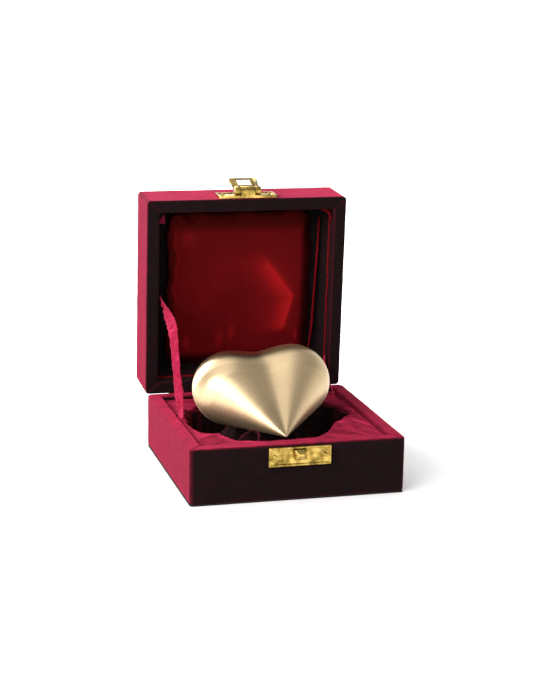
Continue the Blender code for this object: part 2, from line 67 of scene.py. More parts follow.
# Places that every piece is worked out from
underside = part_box("base_underside_cloth")
boxHalf = np.array([underside[1].x, underside[1].y])
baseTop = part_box("base_velvet_wrap")[1].z
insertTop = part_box("insert_velvet")[1].z
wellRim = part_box("well_lining")[1].z
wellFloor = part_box("well_lining")[0].z
hingeAt = Vector(joints["lid_hinge"]["pos_m"])
shutAngle = math.radians(joints["lid_hinge"]["range_deg"][1])
# takes a point of the shut lid to where it is in the open lid
lidTurn = Matrix.Translation(hingeAt) @ Matrix.Rotation(-shutAngle, 4, "X") @ Matrix.Translation(-hingeAt)
# the depth at which outlines carried in from the box's sides stop, just short of its middle
middleDepth = boxHalf.min() - 0.6 * mm


def moved(points, matrix):
    # points times the matrix, on an array of any shape whose last axis is x, y, z
    m = np.array(matrix)
    return points @ m[:3, :3].T + m[:3, 3]
def onHeight(flat, height):
    # (x, y) points given a height: one for all, one for each column, or one for each point
    return np.concatenate((flat, np.broadcast_to(height, flat.shape[:-1])[..., None]), -1)


def roundTurn(count):
    # evenly spaced directions once round, in radians
    return np.arange(count) * 2 * math.pi / count


def polar(turn, radius, height):
    # points at a direction, a radius and a height each
    return np.stack(np.broadcast_arrays(radius * np.cos(turn), radius * np.sin(turn), height), -1)


def aimedAt(place, aim):
    # a matrix that takes the origin to place and +Z to the direction aim
    return Matrix.Translation(place) @ Vector(aim).to_track_quat("Z", "Y").to_matrix().to_4x4()

def ripple(points, size, seed, waves=14):
    # a smooth random field: plane waves of about one wavelength, in random directions, added up
    rng = np.random.default_rng(seed)
    aim = rng.normal(size=(waves, 3))
    aim /= np.linalg.norm(aim, axis=1)[:, None]
    pitch = 2 * math.pi / (size * rng.uniform(0.7, 1.5, waves))
    phase = rng.uniform(0, 2 * math.pi, waves)
    return np.cos((points @ aim.T) * pitch + phase).sum(-1) / math.sqrt(waves)


def ease(x):
    # 0 below 0, 1 above 1, and a smooth step between
    x = np.clip(x, 0, 1)
    return x * x * (3 - 2 * x)


def normalsOf(grid, joined):
    # unit cross product of the two grid directions: the first wraps round, the second only where joined
    first = np.roll(grid, -1, 0) - np.roll(grid, 1, 0)
    second = np.roll(grid, -1, 1) - np.roll(grid, 1, 1) if joined else np.gradient(grid, axis=1)
    n = np.cross(first, second)
    return n / np.maximum(np.linalg.norm(n, axis=-1), 1e-12)[..., None]


def outward(mesh):
    # turns a closed mesh's faces out
    shell = bmesh.new()
    shell.from_mesh(mesh)
    if shell.calc_volume(signed=True) < 0:
        bmesh.ops.reverse_faces(shell, faces=shell.faces)
    shell.to_mesh(mesh)
    shell.free()


def makeMesh(name, grid, ends="poles"):
    # a grid of points as quads, wrapped round in its first direction. Its second is "joined" end to end,
    # shut with "poles" that fan the first and last column, or left "open". Closed meshes face outward
    nu, nv = grid.shape[:2]
    points = grid.reshape(-1, 3)
    spans = nv if ends == "joined" else nv - 1
    a, b = np.meshgrid(np.arange(nu), np.arange(spans), indexing="ij")
    a, b = a.ravel(), b.ravel()
    a2, b2 = (a + 1) % nu, (b + 1) % nv
    loops = np.stack((a * nv + b, a2 * nv + b, a2 * nv + b2, a * nv + b2), -1).ravel()
    totals = np.full(len(a), 4)
    across, along = np.stack((a, a + 1, a + 1, a), -1), np.stack((b, b, b + 1, b + 1), -1)
    uvs = np.stack((across.ravel() / nu, along.ravel() / spans), -1)
    if ends == "poles":
        low, high = len(points), len(points) + 1
        points = np.vstack((points, grid[:, 0].mean(0), grid[:, -1].mean(0)))
        i = np.arange(nu)
        j = (i + 1) % nu
        fanLow = np.stack((np.full(nu, low), j * nv, i * nv), -1)
        fanHigh = np.stack((np.full(nu, high), i * nv + nv - 1, j * nv + nv - 1), -1)
        loops = np.concatenate((loops, fanLow.ravel(), fanHigh.ravel()))
        totals = np.concatenate((totals, np.full(2 * nu, 3)))
        u0, u1, um, zero = i / nu, (i + 1) / nu, (i + 0.5) / nu, np.zeros(nu)
        uvLow = np.stack((um, zero, u1, zero, u0, zero), -1)
        uvHigh = np.stack((um, zero + 1, u0, zero + 1, u1, zero + 1), -1)
        uvs = np.vstack((uvs, uvLow.reshape(-1, 2), uvHigh.reshape(-1, 2)))
    mesh = bpy.data.meshes.new(name)
    mesh.vertices.add(len(points))
    mesh.vertices.foreach_set("co", points.astype(np.float32).ravel())
    mesh.loops.add(len(loops))
    mesh.loops.foreach_set("vertex_index", loops.astype(np.int32))
    mesh.polygons.add(len(totals))
    starts = np.concatenate(((0,), np.cumsum(totals)[:-1]))
    mesh.polygons.foreach_set("loop_start", starts.astype(np.int32))
    mesh.polygons.foreach_set("loop_total", totals.astype(np.int32))
    layer = mesh.uv_layers.new(name="surface")
    layer.data.foreach_set("uv", uvs.astype(np.float32).ravel())
    mesh.update()
    mesh.validate()
    mesh.shade_smooth()
    piece = bpy.data.objects.new(name, mesh)
    bpy.context.scene.collection.objects.link(piece)
    if ends != "open":
        outward(mesh)
    return piece


def paintSheenOnFacing(piece, up, left):
    # painted sheen: how much lighter colour is painted on, up on faces that face up, left on faces that face
    # -X, where the lamps fall
    mesh = piece.data
    n = np.empty(len(mesh.vertices) * 3, np.float32)
    mesh.vertices.foreach_get("normal", n)
    n = n.reshape(-1, 3)
    paintedSheen = mesh.attributes.new("paintedSheen", "FLOAT", "POINT")
    value = np.clip(n[:, 2], 0, 1) * up + np.clip(-n[:, 0], 0, 1) * left
    paintedSheen.data.foreach_set("value", value.astype(np.float32))


def settle(piece, body, finish, slotName, *stands):
    # gives a piece its finish, the body it rides on, if it has one, and hides the nodes it stands for
    piece.data.materials.append(finishes[finish])
    if body:
        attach(piece, body)
    if stands:
        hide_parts(*stands)
    return piece


def linear(hexColour):
    # sRGB hex to linear red, green, blue, alpha
    c = np.array([int(hexColour[i:i + 2], 16) for i in (1, 3, 5)]) / 255
    c = np.where(c <= 0.04045, c / 12.92, ((c + 0.055) / 1.055) ** 2.4)
    return (*(float(v) for v in c), 1.0)


def addNode(tree, kind, settings=None, links=None):
    # one node: settings are sockets' values where such a socket exists, or else the node's own properties
    node = tree.nodes.new("ShaderNode" + kind)
    for key, value in (settings or {}).items():
        if isinstance(key, int) or key in node.inputs:
            node.inputs[key].default_value = value
        else:
            setattr(node, key, value)
    for key, source in (links or {}).items():
        tree.links.new(source, node.inputs[key])
    return node


def newMaterial(name, shaderSettings):
    material = bpy.data.materials.new(name)
    material.use_nodes = True
    tree = material.node_tree
    shader = tree.nodes["Principled BSDF"]
    for key, value in shaderSettings.items():
        shader.inputs[key].default_value = value
    return material, tree, shader


def ramp(tree, source, stops):
    # a colour ramp with (place, hex) stops
    node = addNode(tree, "ValToRGB", links={"Fac": source})
    elements = node.color_ramp.elements
    for k, (place, colour) in enumerate(stops):
        element = elements[k] if k < 2 else elements.new(place)
        element.position = place
        element.color = linear(colour)
    return node


def paint(tree, shader, source, stops):
    # the base colour from a colour ramp over source
    tree.links.new(ramp(tree, source, stops).outputs["Color"], shader.inputs["Base Color"])


def bump(tree, shader, layers):
    # bumps one on another: (height socket, depth in metres, strength)
    last = None
    for height, depth, strength in layers:
        links = {"Height": height}
        if last:
            links["Normal"] = last.outputs["Normal"]
        last = addNode(tree, "Bump", {"Strength": strength, "Distance": depth}, links)
    tree.links.new(last.outputs["Normal"], shader.inputs["Normal"])


def noiseAt(tree, vector, sizeMm, detail=3.0, roughness=0.55, stretch=None):
    # noise whose blobs are about sizeMm across, in the space of vector (metres)
    if stretch:
        vector = addNode(tree, "Mapping", {"Scale": stretch}, {"Vector": vector}).outputs[0]
    scale = 1 / (sizeMm * mm * 2)
    return addNode(tree, "TexNoise", {"Scale": scale, "Detail": detail, "Roughness": roughness},
                   {"Vector": vector}).outputs["Fac"]


cameraSettings = {
    "azimuth": -15.18,
    "elevation": 13.317,
    "roll": 0.94,
    "distance": 840.0 * mm,
    "lens": 88.97,
    "across": -2.93 * mm,
    "up": 10.26 * mm,
    "height": 52.5 * mm,
}


def placeCamera(s):
    # the view direction from azimuth and elevation; the target is shifted across and up in the view plane
    a, e, r = (math.radians(s[key]) for key in ("azimuth", "elevation", "roll"))
    back = Vector((math.sin(a) * math.cos(e), -math.cos(a) * math.cos(e), math.sin(e)))
    right = Vector((math.cos(a), math.sin(a), 0))
    up = back.cross(right)
    target = Vector((0, 0, s["height"])) + right * s["across"] + up * s["up"]
    turnedRight = right * math.cos(r) + up * math.sin(r)
    turnedUp = up * math.cos(r) - right * math.sin(r)
    data = bpy.data.cameras.new("view")
    data.lens = s["lens"]
    data.sensor_width = 36
    camera = bpy.data.objects.new("view", data)
    rotation = Matrix((turnedRight, turnedUp, back)).transposed().to_4x4()
    camera.matrix_world = Matrix.Translation(target + back * s["distance"]) @ rotation
    bpy.context.scene.collection.objects.link(camera)
    bpy.context.scene.camera = camera


def softbox(name, place, aim, size, power):
    # a rectangular area light at place, turned towards aim
    data = bpy.data.lights.new(name, "AREA")
    data.shape = "RECTANGLE"
    data.size, data.size_y = size
    data.energy = power
    lamp = bpy.data.objects.new(name, data)
    lamp.matrix_world = aimedAt(place, Vector(place) - Vector(aim))
    bpy.context.scene.collection.objects.link(lamp)


lightSettings = {
    "aim": (0, 0, 0.05),
    "world": 0.42,
    "lamps": (("key", (-0.74, -0.46, 0.48), (0.9, 0.4), 10),
              ("left", (-0.75, 0.95, 0.45), (0.5, 0.6), 13),
              ("back", (-0.1, 0.95, 0.75), (0.8, 0.4), 7),
              ("top", (-0.45, 0.1, 1.15), (1.3, 1.3), 6)),
}

placeCamera(cameraSettings)
for name, place, size, power in lightSettings["lamps"]:
    softbox(name + " softbox", place, lightSettings["aim"], size, power)

world = bpy.data.worlds.new("studio")
world.use_nodes = True
background = world.node_tree.nodes["Background"]
background.inputs["Color"].default_value = linear("#FFFFFF")
background.inputs["Strength"].default_value = lightSettings["world"]
bpy.context.scene.world = world
bpy.context.scene.view_settings.view_transform = "Standard"
print("camera and lights placed")


# Cut-pile velvet: dark when looked straight into, bright where the pile is seen side on.
# The pile lies in soft patches of 2 to 5 mm, and its tips make a 0.4 mm grain. Where a piece has a
# painted sheen value, a lighter colour is painted on by that much: a painted sheen where the lamps fall.
def velvet(name, deep, lit, paintedSheenColour, sheen, sheenWeight=1.0):
    material, tree, shader = newMaterial(name, {
        "Roughness": 0.95, "Sheen Weight": sheenWeight, "Sheen Roughness": 0.32,
        "Sheen Tint": linear(sheen), "Specular IOR Level": 0.15})
    where = addNode(tree, "TexCoord").outputs["Object"]
    nap = noiseAt(tree, where, 3.2, 4.0)
    pile = noiseAt(tree, where, 0.45, 2.0, 0.7)
    mixed = addNode(tree, "Math", {"operation": "MULTIPLY_ADD", 1: 0.55}, {0: pile, 2: nap}).outputs[0]
    colour = ramp(tree, mixed, [(0.55, deep), (1.0, lit)])
    # painted sheen: a lighter colour painted on where a piece's faces turn up or towards -X, towards the
    # lamps
    paintedSheen = addNode(tree, "Attribute", {"attribute_name": "paintedSheen"}).outputs["Fac"]
    uneven = addNode(tree, "MapRange", {"From Min": 0.6, "From Max": 0.95, "To Min": 0.45, "To Max": 1.2},
                     {"Value": mixed}).outputs[0]
    paintedSheenShare = addNode(tree, "Math", {"operation": "MULTIPLY", "use_clamp": True}, {0: paintedSheen, 1: uneven})
    whole = addNode(tree, "MixRGB", {"Color2": linear(paintedSheenColour)},
                    {"Fac": paintedSheenShare.outputs[0], "Color1": colour.outputs["Color"]})
    tree.links.new(whole.outputs["Color"], shader.inputs["Base Color"])
    bump(tree, shader, [(nap, 0.5 * mm, 0.2), (pile, 0.3 * mm, 0.7)])
    return material


# Acetate satin: long floats give a soft, wide shine, across a fine grain of 0.3 mm threads. On a padded
# panel a per-point value paints light and shade into the colour; elsewhere it is an even 0.45.
def satin(name, shadow, deep, lit, bright, shine, panel=False):
    material, tree, shader = newMaterial(name, {
        "Roughness": 0.42, "Sheen Weight": 0.25, "Sheen Roughness": 0.4, "Sheen Tint": linear(shine),
        "Specular IOR Level": 0.35, "Specular Tint": linear(shine)})
    where = addNode(tree, "TexCoord").outputs["Object"]
    cloud = noiseAt(tree, where, 14, 2.0)
    # on the panel, painted light and shade: lighter on its lit folds, dark beyond its lit zone
    if panel:
        paintedShading = addNode(tree, "Attribute", {"attribute_name": "paintedLightShade"}).outputs["Fac"]
    else:
        paintedShading = addNode(tree, "Value").outputs[0]
        paintedShading.default_value = 0.45
    mixed = addNode(tree, "Math", {"operation": "MULTIPLY_ADD", 1: 0.22}, {0: cloud, 2: paintedShading}).outputs[0]
    paint(tree, shader, mixed, [(0.1, shadow), (0.5, deep), (0.64, lit), (0.95, bright)])
    thread = noiseAt(tree, where, 0.3, 2.0, 0.6, (1.0, 1.0, 6.0))
    bump(tree, shader, [(thread, 0.1 * mm, 0.25)])
    return material


# Spun brass, brushed in rings round the heart's point: the scratches are 0.15 mm apart, and the
# shine runs across them, so its bands meet at the point.
def brushedBrass(name, pale, warm):
    material, tree, shader = newMaterial(name, {
        "Metallic": 1.0, "Roughness": 0.34, "Anisotropic": 0.75, "Anisotropic Rotation": 0.0})
    where = addNode(tree, "UVMap", {"uv_map": "surface"}).outputs[0]
    rings = addNode(tree, "Mapping", {"Scale": (2.5, 300.0, 1.0)}, {"Vector": where}).outputs[0]
    scratch = addNode(tree, "TexNoise", {"Scale": 1.0, "Detail": 4.0, "Roughness": 0.75},
                      {"Vector": rings}).outputs["Fac"]
    paint(tree, shader, scratch, [(0.3, warm), (0.7, pale)])
    rough = addNode(tree, "MapRange", {"To Min": 0.3, "To Max": 0.4}, {"Value": scratch}).outputs[0]
    tree.links.new(rough, shader.inputs["Roughness"])
    tangent = addNode(tree, "Tangent", {"direction_type": "UV_MAP", "uv_map": "surface"}).outputs[0]
    tree.links.new(tangent, shader.inputs["Tangent"])
    bump(tree, shader, [(scratch, 0.02 * mm, 0.25)])
    return material


# Stamped brass, lacquered and a little tarnished: olive-brown patches of about 2 mm.
def stampedBrass(name, bright, dull, dark):
    material, tree, shader = newMaterial(name, {"Metallic": 1.0, "Roughness": 0.28})
    where = addNode(tree, "TexCoord").outputs["Object"]
    stain = noiseAt(tree, where, 2.2, 4.0, 0.6)
    paint(tree, shader, stain, [(0.32, dark), (0.45, dull), (0.62, bright)])
    rough = addNode(tree, "MapRange", {"From Min": 0.3, "From Max": 0.6, "To Min": 0.42, "To Max": 0.2},
                    {"Value": stain})
    tree.links.new(rough.outputs[0], shader.inputs["Roughness"])
    dents = noiseAt(tree, where, 1.0, 3.0)
    bump(tree, shader, [(dents, 0.15 * mm, 0.35)])
    return material


def plainFinish(name, colour, other, roughness, sizeMm, depthMm, metallic=0.0):
    # board, foam, flock paper and wire: two close colours in a grain, and a bump of the same grain
    material, tree, shader = newMaterial(name, {"Roughness": roughness, "Metallic": metallic})
    where = addNode(tree, "TexCoord").outputs["Object"]
    grain = noiseAt(tree, where, sizeMm, 4.0)
    paint(tree, shader, grain, [(0.3, colour), (0.7, other)])
    bump(tree, shader, [(grain, depthMm * mm, 0.5)])
    return material


finishes = {
    "boxVelvet": velvet("crimson cut-pile velvet", "#080404", "#160608", "#8A0E30", "#FF3A6C"),
    "wellVelvet": velvet("crimson velvet, brushed down", "#070304", "#200709", "#5A0A1C", "#F02850", 0.6),
    # a dark velvet with its sheen turned down: painted shade for the lid's inside walls and the cover's
    # turned-in faces
    "lining": velvet("dark velvet lining, sheen dimmed for painted shade", "#080506", "#180A0C", "#30080E", "#7A1A30", 0.25),
    "satin": satin("dark red acetate satin", "#0A0203", "#5A0A0F", "#740F14", "#C01C20", "#FF3830", True),
    "piping": satin("dark red satin, folded narrow", "#0A0203", "#6A0C14", "#7E1018", "#A01820", "#FF3840"),
    "ribbon": velvet("crimson woven ribbon", "#8A0C2C", "#C02850", "#E06088", "#FF80A0", 0.6),
    "heart": brushedBrass("pale brass, ring brushed", "#DCC4A0", "#C0A57A"),
    "heartFitting": plainFinish("pale brass, turned", "#C9B27C", "#BFA468", 0.34, 0.3, 0.02, 1.0),
    "brass": stampedBrass("stamped brass, lightly tarnished", "#D0B060", "#9A7F3A", "#4E4020"),
    "board": plainFinish("grey board, milled", "#6E6458", "#857A6C", 0.9, 1.2, 0.1),
    "foam": plainFinish("white foam, cut", "#D8D8D4", "#ECECE8", 0.95, 0.8, 0.3),
    "flock": plainFinish("black flock paper, pressed", "#0C0A0A", "#1A1616", 0.95, 0.5, 0.2),
    "wire": plainFinish("steel wire, drawn", "#8A8478", "#A8A090", 0.35, 0.6, 0.02, 1.0),
}
print("finishes made")


def roundedRing(halfX, halfY, radius, straight, corner):
    # the outline of a rounded rectangle: four quarter circles joined by straight runs, starting at +X.
    # halfX, halfY and radius may be arrays; the result is (around, ..., 2)
    halfX, halfY, radius = np.broadcast_arrays(*(np.asarray(v, float) for v in (halfX, halfY, radius)))
    signs = ((1, 1), (-1, 1), (-1, -1), (1, -1))

    def onCorner(k, turn):
        sx, sy = signs[k % 4]
        return np.stack((sx * (halfX - radius) + radius * np.cos(turn),
                         sy * (halfY - radius) + radius * np.sin(turn)), -1)

    parts = []
    for k in range(4):
        turn = np.linspace(k, k + 1, corner).reshape((-1,) + (1,) * halfX.ndim) * math.pi / 2
        arc, far = onCorner(k, turn), onCorner(k + 1, (k + 1) * math.pi / 2)
        share = np.linspace(0, 1, straight + 2)[1:-1].reshape((-1,) + (1,) * far.ndim)
        parts += [arc, arc[-1] * (1 - share) + far * share]
    return np.concatenate(parts)


def boxRing(depth, radius, straight, corner):
    # the box's outline at one or more depths in from its sides
    radius = np.minimum(radius, (boxHalf.min() - depth) * 0.9)
    return roundedRing(boxHalf[0] - depth, boxHalf[1] - depth, radius, straight, corner)


def arcLine(centre, radius, start, end, count):
    # points on an arc in the (depth, height) plane, angles in degrees
    t = np.radians(np.linspace(start, end, count))
    return np.stack((centre[0] + radius * np.cos(t), centre[1] + radius * np.sin(t)), -1)


def line(start, end, step):
    # evenly spaced points from start up to, but without, end
    count = max(int(np.hypot(*(np.subtract(end, start))) / step), 1)
    s = np.linspace(0, 1, count + 1)[:-1, None]
    return np.array(start) * (1 - s) + np.array(end) * s


coverSettings = {
    "cloth": 0.8 * mm,
    "wall": 6.4 * mm,
    "outerEdge": 0.75 * mm,
    "innerEdge": 0.9 * mm,
    "footEdge": 0.7 * mm,
    "corner": 2.0 * mm,
    "innerCorner": 1.0 * mm,
    "straight": 130,
    "cornerSteps": 11,
    "step": 0.8 * mm,
    "wander": 0.06 * mm,
    "mitre": 0.35 * mm,
    "mitreWidth": 0.45 * mm,
    "mitreReach": 8 * mm,
    "footGap": 0.3 * mm,
    "turnIn": 9 * mm,
}


def overRim(s, rim, innerEnd, up):
    # (depth into the wall, height) of the cloth from the outer side over the rim, down the inside to
    # innerEnd and back along the boards. The rim is the top where up is 1, and the bottom where it is -1
    ro, ri, w, c = (s[key] for key in ("outerEdge", "innerEdge", "wall", "cloth"))
    end = -abs(rim - innerEnd)
    return (0, rim) + (1, up) * np.concatenate((
        arcLine((ro, -ro), ro, 180, 90, 9),
        line((ro * 1.2, 0), (w - ri, 0), s["step"] * 0.6),
        arcLine((w - ri, -ri), ri, 90, 0, 8),
        line((w, -ri * 1.1), (w, end), s["step"]),
        line((w - c * 0.5, end), (w - c, end + 0.3 * mm), 1),
        line((w - c, end + 0.6 * mm), (w - c, -c * 1.3), s["step"] * 3),
        line((w - c * 1.3, -c), (c * 1.3, -c), s["step"] * 3)))


def baseProfile(s, foot, rim, innerEnd):
    # (depth, height) once round the base's cloth, from its foot up the outside, over the rim and back
    rf, c = s["footEdge"], s["cloth"]
    return np.concatenate((
        arcLine((rf, foot + rf), rf, 250, 180, 4),
        line((0, foot + rf * 1.2), (0, rim - s["outerEdge"]), s["step"]),
        overRim(s, rim, innerEnd, 1),
        line((c, rim - c * 1.3), (c, foot + 0.6 * mm), s["step"] * 3)))


def wrapCover(s, profile):
    # the profile carried round the box: depth moves each outline in, and its corner shrinks to match
    depth, height = profile[:, 0], profile[:, 1]
    outer = np.maximum(s["corner"] - depth, s["innerCorner"])
    inner = np.maximum(s["innerCorner"] + s["wall"] - depth, s["innerCorner"])
    radius = np.where((depth < s["wall"] / 2) | (depth > s["wall"] * 1.5), outer, inner)
    return onHeight(boxRing(depth, radius, s["straight"], s["cornerSteps"]), height)


def handStretched(s, grid, seed, rim, sign, joined):
    # cloth stretched over board by hand: soft wandering along the normals, and a sunken mitre
    # fold across the rim at each corner
    amount = s["wander"] * (ripple(grid, 16 * mm, seed) * 0.6 + ripple(grid, 5 * mm, seed + 1) * 0.35
                            + ripple(grid, 1.4 * mm, seed + 2) * 0.18)
    grid = grid + normalsOf(grid, joined) * amount[..., None]
    fromSides = boxHalf - np.abs(grid[..., :2])
    fromCorner = np.abs(fromSides[..., 0] - fromSides[..., 1]) / math.sqrt(2)
    onRim = ease(1 - np.abs(grid[..., 2] - rim) / (1.0 * mm))
    near = fromSides.max(-1) < s["mitreReach"]
    grid[..., 2] -= sign * s["mitre"] * onRim * near * np.exp(-(fromCorner / s["mitreWidth"]) ** 2)
    return grid


profile = baseProfile(coverSettings, underside[1].z + coverSettings["footGap"], baseTop,
                      baseTop - coverSettings["turnIn"])
cover = handStretched(coverSettings, wrapCover(coverSettings, profile), 11, baseTop, 1, True)
baseCover = makeMesh("base_cover", cover, "joined")
# painted sheen on the base cover's tops and left faces
paintSheenOnFacing(baseCover, up=0.9, left=0.4)
settle(baseCover, "base", "boxVelvet", "velvet", "base_velvet_wrap")
print("base cover made")


def nodeBox(name, shut=False):
    # lowest and highest corners of a node; shut takes a lid node at its place in the shut lid
    mesh = nodes[name].data
    points = np.empty(len(mesh.vertices) * 3, np.float32)
    mesh.vertices.foreach_get("co", points)
    points = points.reshape(-1, 3).astype(float)
    if shut:
        points = moved(points, lidTurn.inverted())
    return points.min(0), points.max(0)


lidRim, lidTop = (corner[2] for corner in nodeBox("lid_velvet_wrap", shut=True))
turnInEnd, liningTop = (corner[2] for corner in nodeBox("lid_wall_lining", shut=True))


def lidProfile(s, rim, top, turnIn):
    # (depth, height) from the roof's middle out over the shoulder, down the side, over the rim, and back
    # along the boards to the roof's middle
    ro, c = s["outerEdge"], s["cloth"]
    return np.concatenate((
        line((middleDepth, top), (ro, top), s["step"] * 2),
        arcLine((ro, top - ro), ro, 90, 180, 9),
        line((0, top - ro * 1.1), (0, rim + ro), s["step"]),
        overRim(s, rim, turnIn, -1),
        line((c, rim + c * 1.3), (c, top - c * 1.3), s["step"] * 3),
        line((c * 1.3, top - c), (middleDepth, top - c), s["step"] * 6)))


profile = lidProfile(coverSettings, lidRim, lidTop, turnInEnd - 0.3 * mm)
cover = handStretched(coverSettings, wrapCover(coverSettings, profile), 23, lidRim, -1, False)
lidCover = makeMesh("lid_cover", moved(cover, lidTurn))
# painted sheen on the lid cover's tops and left faces
paintSheenOnFacing(lidCover, up=0.12, left=0.4)
settle(lidCover, "lid", "boxVelvet", "velvet", "lid_velvet_wrap")
# painted shade: the faces turned in over the rim's inner edge take the dim lining velvet, so the same cloth
# reads darker there
lidCover.data.materials.append(finishes["lining"])
turnedIn = (profile[:, 0] > coverSettings["wall"] - 0.3 * mm) & (profile[:, 1] < turnInEnd + 1 * mm)
around = len(lidCover.data.polygons) // (len(profile) + 1)
which = np.zeros(len(lidCover.data.polygons), np.int32)
which[:around * (len(profile) - 1)] = np.tile(turnedIn[:-1], around)
lidCover.data.polygons.foreach_set("material_index", which)
print("lid cover made")


liningSettings = {
    "inset": 6.4 * mm,
    "corner": 1.0 * mm,
    "thickness": 0.8 * mm,
    "trayGap": 0.1 * mm,
    "tuckedIn": 0.15 * mm,
    "bend": 1.0 * mm,
    "gather": 0.28 * mm,
    "gatherPitch": 7 * mm,
    "fineGather": 0.07 * mm,
}


def liningTray(s, low, high):
    # the lid's inside: rings from the middle of the tray out to the wall, down the wall, and back behind it
    d, t, b = s["inset"], s["thickness"], s["bend"]
    top, back = high - s["trayGap"], high + s["tuckedIn"]
    inside = np.concatenate((
        line((middleDepth, top), (d + 1.2 * mm, top), 1.2 * mm),
        arcLine((d + b, top - b), b, 90, 180, 6),
        line((d, top - 1.2 * mm), (d, low + 0.4 * mm), 0.7 * mm),
        arcLine((d - t / 2, low + t / 2), t / 2, 0, -180, 7),
        line((d - t, low + t), (d - t, high), 2 * mm),
        line((d - t + 0.3 * mm, back), (middleDepth, back), 5 * mm)))
    depth = inside[:, 0]
    radius = np.clip(s["corner"] + d - depth, s["corner"], None)
    grid = onHeight(boxRing(depth, radius, 130, 9), inside[:, 1])
    # soft gathers stand out from the walls and from the rim of the tray
    n = normalsOf(grid, False)
    nearWall = ease((d + 9 * mm - depth) / (6 * mm)) * (depth > d - 0.01 * mm)
    wall = ease((grid[..., 2] - low) / (3 * mm)) * nearWall
    swell = (s["gather"] * ripple(grid * (1, 1, 0.25), s["gatherPitch"], 31)
             + s["fineGather"] * ripple(grid, 3 * mm, 32))
    outSide = np.sign((n * (grid - grid.reshape(-1, 3).mean(0))).sum(-1).mean()) or 1
    return grid + n * (swell * wall * outSide)[..., None]


tray = makeMesh("lid_lining", moved(liningTray(liningSettings, turnInEnd, liningTop), lidTurn))
# painted shade: the lid's inside walls take the dim lining velvet, so they read dark
settle(tray, "lid", "lining", "velvet", "lid_wall_lining")


pillowSettings = {
    "half": (39.0 * mm, 41.3 * mm),
    "middle": (0.9 * mm, 0.4 * mm),
    "corner": 6 * mm,
    "thickness": 0.9 * mm,
    "puff": 2.3 * mm,
    "seam": 0.35 * mm,
    "pucker": 0.1 * mm,
    "fold": 0.8 * mm,
    "foldWidth": 9 * mm,
    "foldDrop": 1.8 * mm,
    "foldLine": ((10.7, 72.8), (30.8, 46.4), (25.3, 27.7), (19.5, 19.0)),
    "foldReach": (24, 74),
    "smallFold": 0.55 * mm,
    "smallFolds": ((-3.0, 27.3, 1.6), (-9.4, 24.3, 1.8), (-26.8, 21.7, 1.5), (33.2, 23.9, 1.3),
                   (-27.0, 83.0, 3.0)),
    "slackness": 0.22 * mm,
    "lit": (-35.0, 37.0, 13.0, 87.5),
}


def besideLine(x, up, points):
    # distance to a line of points in the (x, up) plane, positive on its left as it runs down
    best = np.full(x.shape, np.inf)
    side = np.ones(x.shape)
    for (x0, u0), (x1, u1) in zip(points, points[1:]):
        dx, du = x1 - x0, u1 - u0
        share = np.clip(((x - x0) * dx + (up - u0) * du) / (dx * dx + du * du), 0, 1)
        away = np.hypot(x - x0 - share * dx, up - u0 - share * du)
        turn = np.sign((x - x0) * du - (up - u0) * dx)
        side = np.where(away < best, turn, side)
        best = np.minimum(best, away)
    return best * side


def satinPillow(s, back):
    # rings from the middle of the face to its edge, round the seam and back along the rear, and the painted
    # light and shade at each point. The face is a flat crown that falls off at the edge, with drawn folds,
    # puckers and a long slack fold
    share = np.concatenate((np.linspace(0.012, 0.985, 130), np.ones(3), np.linspace(0.985, 0.012, 12)))
    sheet = np.array([0] * 130 + [0.25, 0.5, 0.75] + [1.0] * 12)
    flat = roundedRing(s["half"][0] * share, s["half"][1] * share, s["corner"] * share, 96, 12)
    around = np.linspace(0, 2 * math.pi, len(flat), endpoint=False)[:, None]
    edge = ease((share - 0.8) / 0.2)
    wavy = 1 + 0.012 * edge * (np.sin(around * 11 + 0.6) + 0.6 * np.sin(around * 23 + 2.0))
    flat = flat * wavy[..., None] + np.array(s["middle"])
    x, up = flat[..., 0] / mm, (hingeAt.y - flat[..., 1]) / mm
    crown = np.sqrt(np.clip(1 - share ** 7, 0, 1)) * s["puff"]
    puckers = s["pucker"] * (np.sin(around * 46) + 0.7 * np.sin(around * 71 + 1))
    puckers = puckers * ease((share - 0.72) / 0.25)
    beside = besideLine(x, up, s["foldLine"]) * mm
    slack = np.where(beside > 0, np.exp(-(np.abs(beside) / s["foldWidth"]) ** 1.3),
                     np.exp(beside / s["foldDrop"]))
    drawn = sum(np.exp(-(((x - fx) * 0.9) ** 2 + ((up - fu) * 0.35) ** 2) / size ** 2)
                for fx, fu, size in s["smallFolds"])
    soft = ripple(onHeight(flat, 0) * (1.0, 0.5, 1.0), 20 * mm, 41)
    low, high = s["foldReach"]
    slack = slack * ease((up - low) / 7) * ease((high - up) / 14)
    relief = s["fold"] * slack + s["smallFold"] * drawn + s["slackness"] * soft
    face = crown + relief * (1 - edge) + puckers * 0.7 + s["thickness"]
    height = back - face * (1 - sheet) - s["seam"] * (sheet > 0) * (sheet < 1)
    # painted light: lighter colour on the slack fold, the small folds and a painted highlight along the wavy
    # left edge; painted shade beyond the lit zone, and a little darker towards the top
    left, right, low, high = s["lit"]
    wave = 0.9 * np.sin(up * 0.21) + 0.5 * np.sin(up * 0.55 + 1)
    zone = (ease((x - left - wave) / 1.6) * ease((right - x) / 3.5)
            * ease((up - low) / 5) * ease((high - up) / 7))
    roll = np.exp(-((x - left - wave - 1.6) / 1.1) ** 2) * ease((up - 42) / 10)
    paintedShading = 0.42 + 0.34 * slack + 0.16 * np.clip(drawn, 0, 1) + 0.13 * roll - 0.05 * ease((up - 50) / 35)
    return onHeight(flat, height), paintedShading * zone


pillowGrid, pillowPaintedShading = satinPillow(pillowSettings, liningTop - 0.15 * mm)
pillow = makeMesh("satin_panel", moved(pillowGrid, lidTurn))
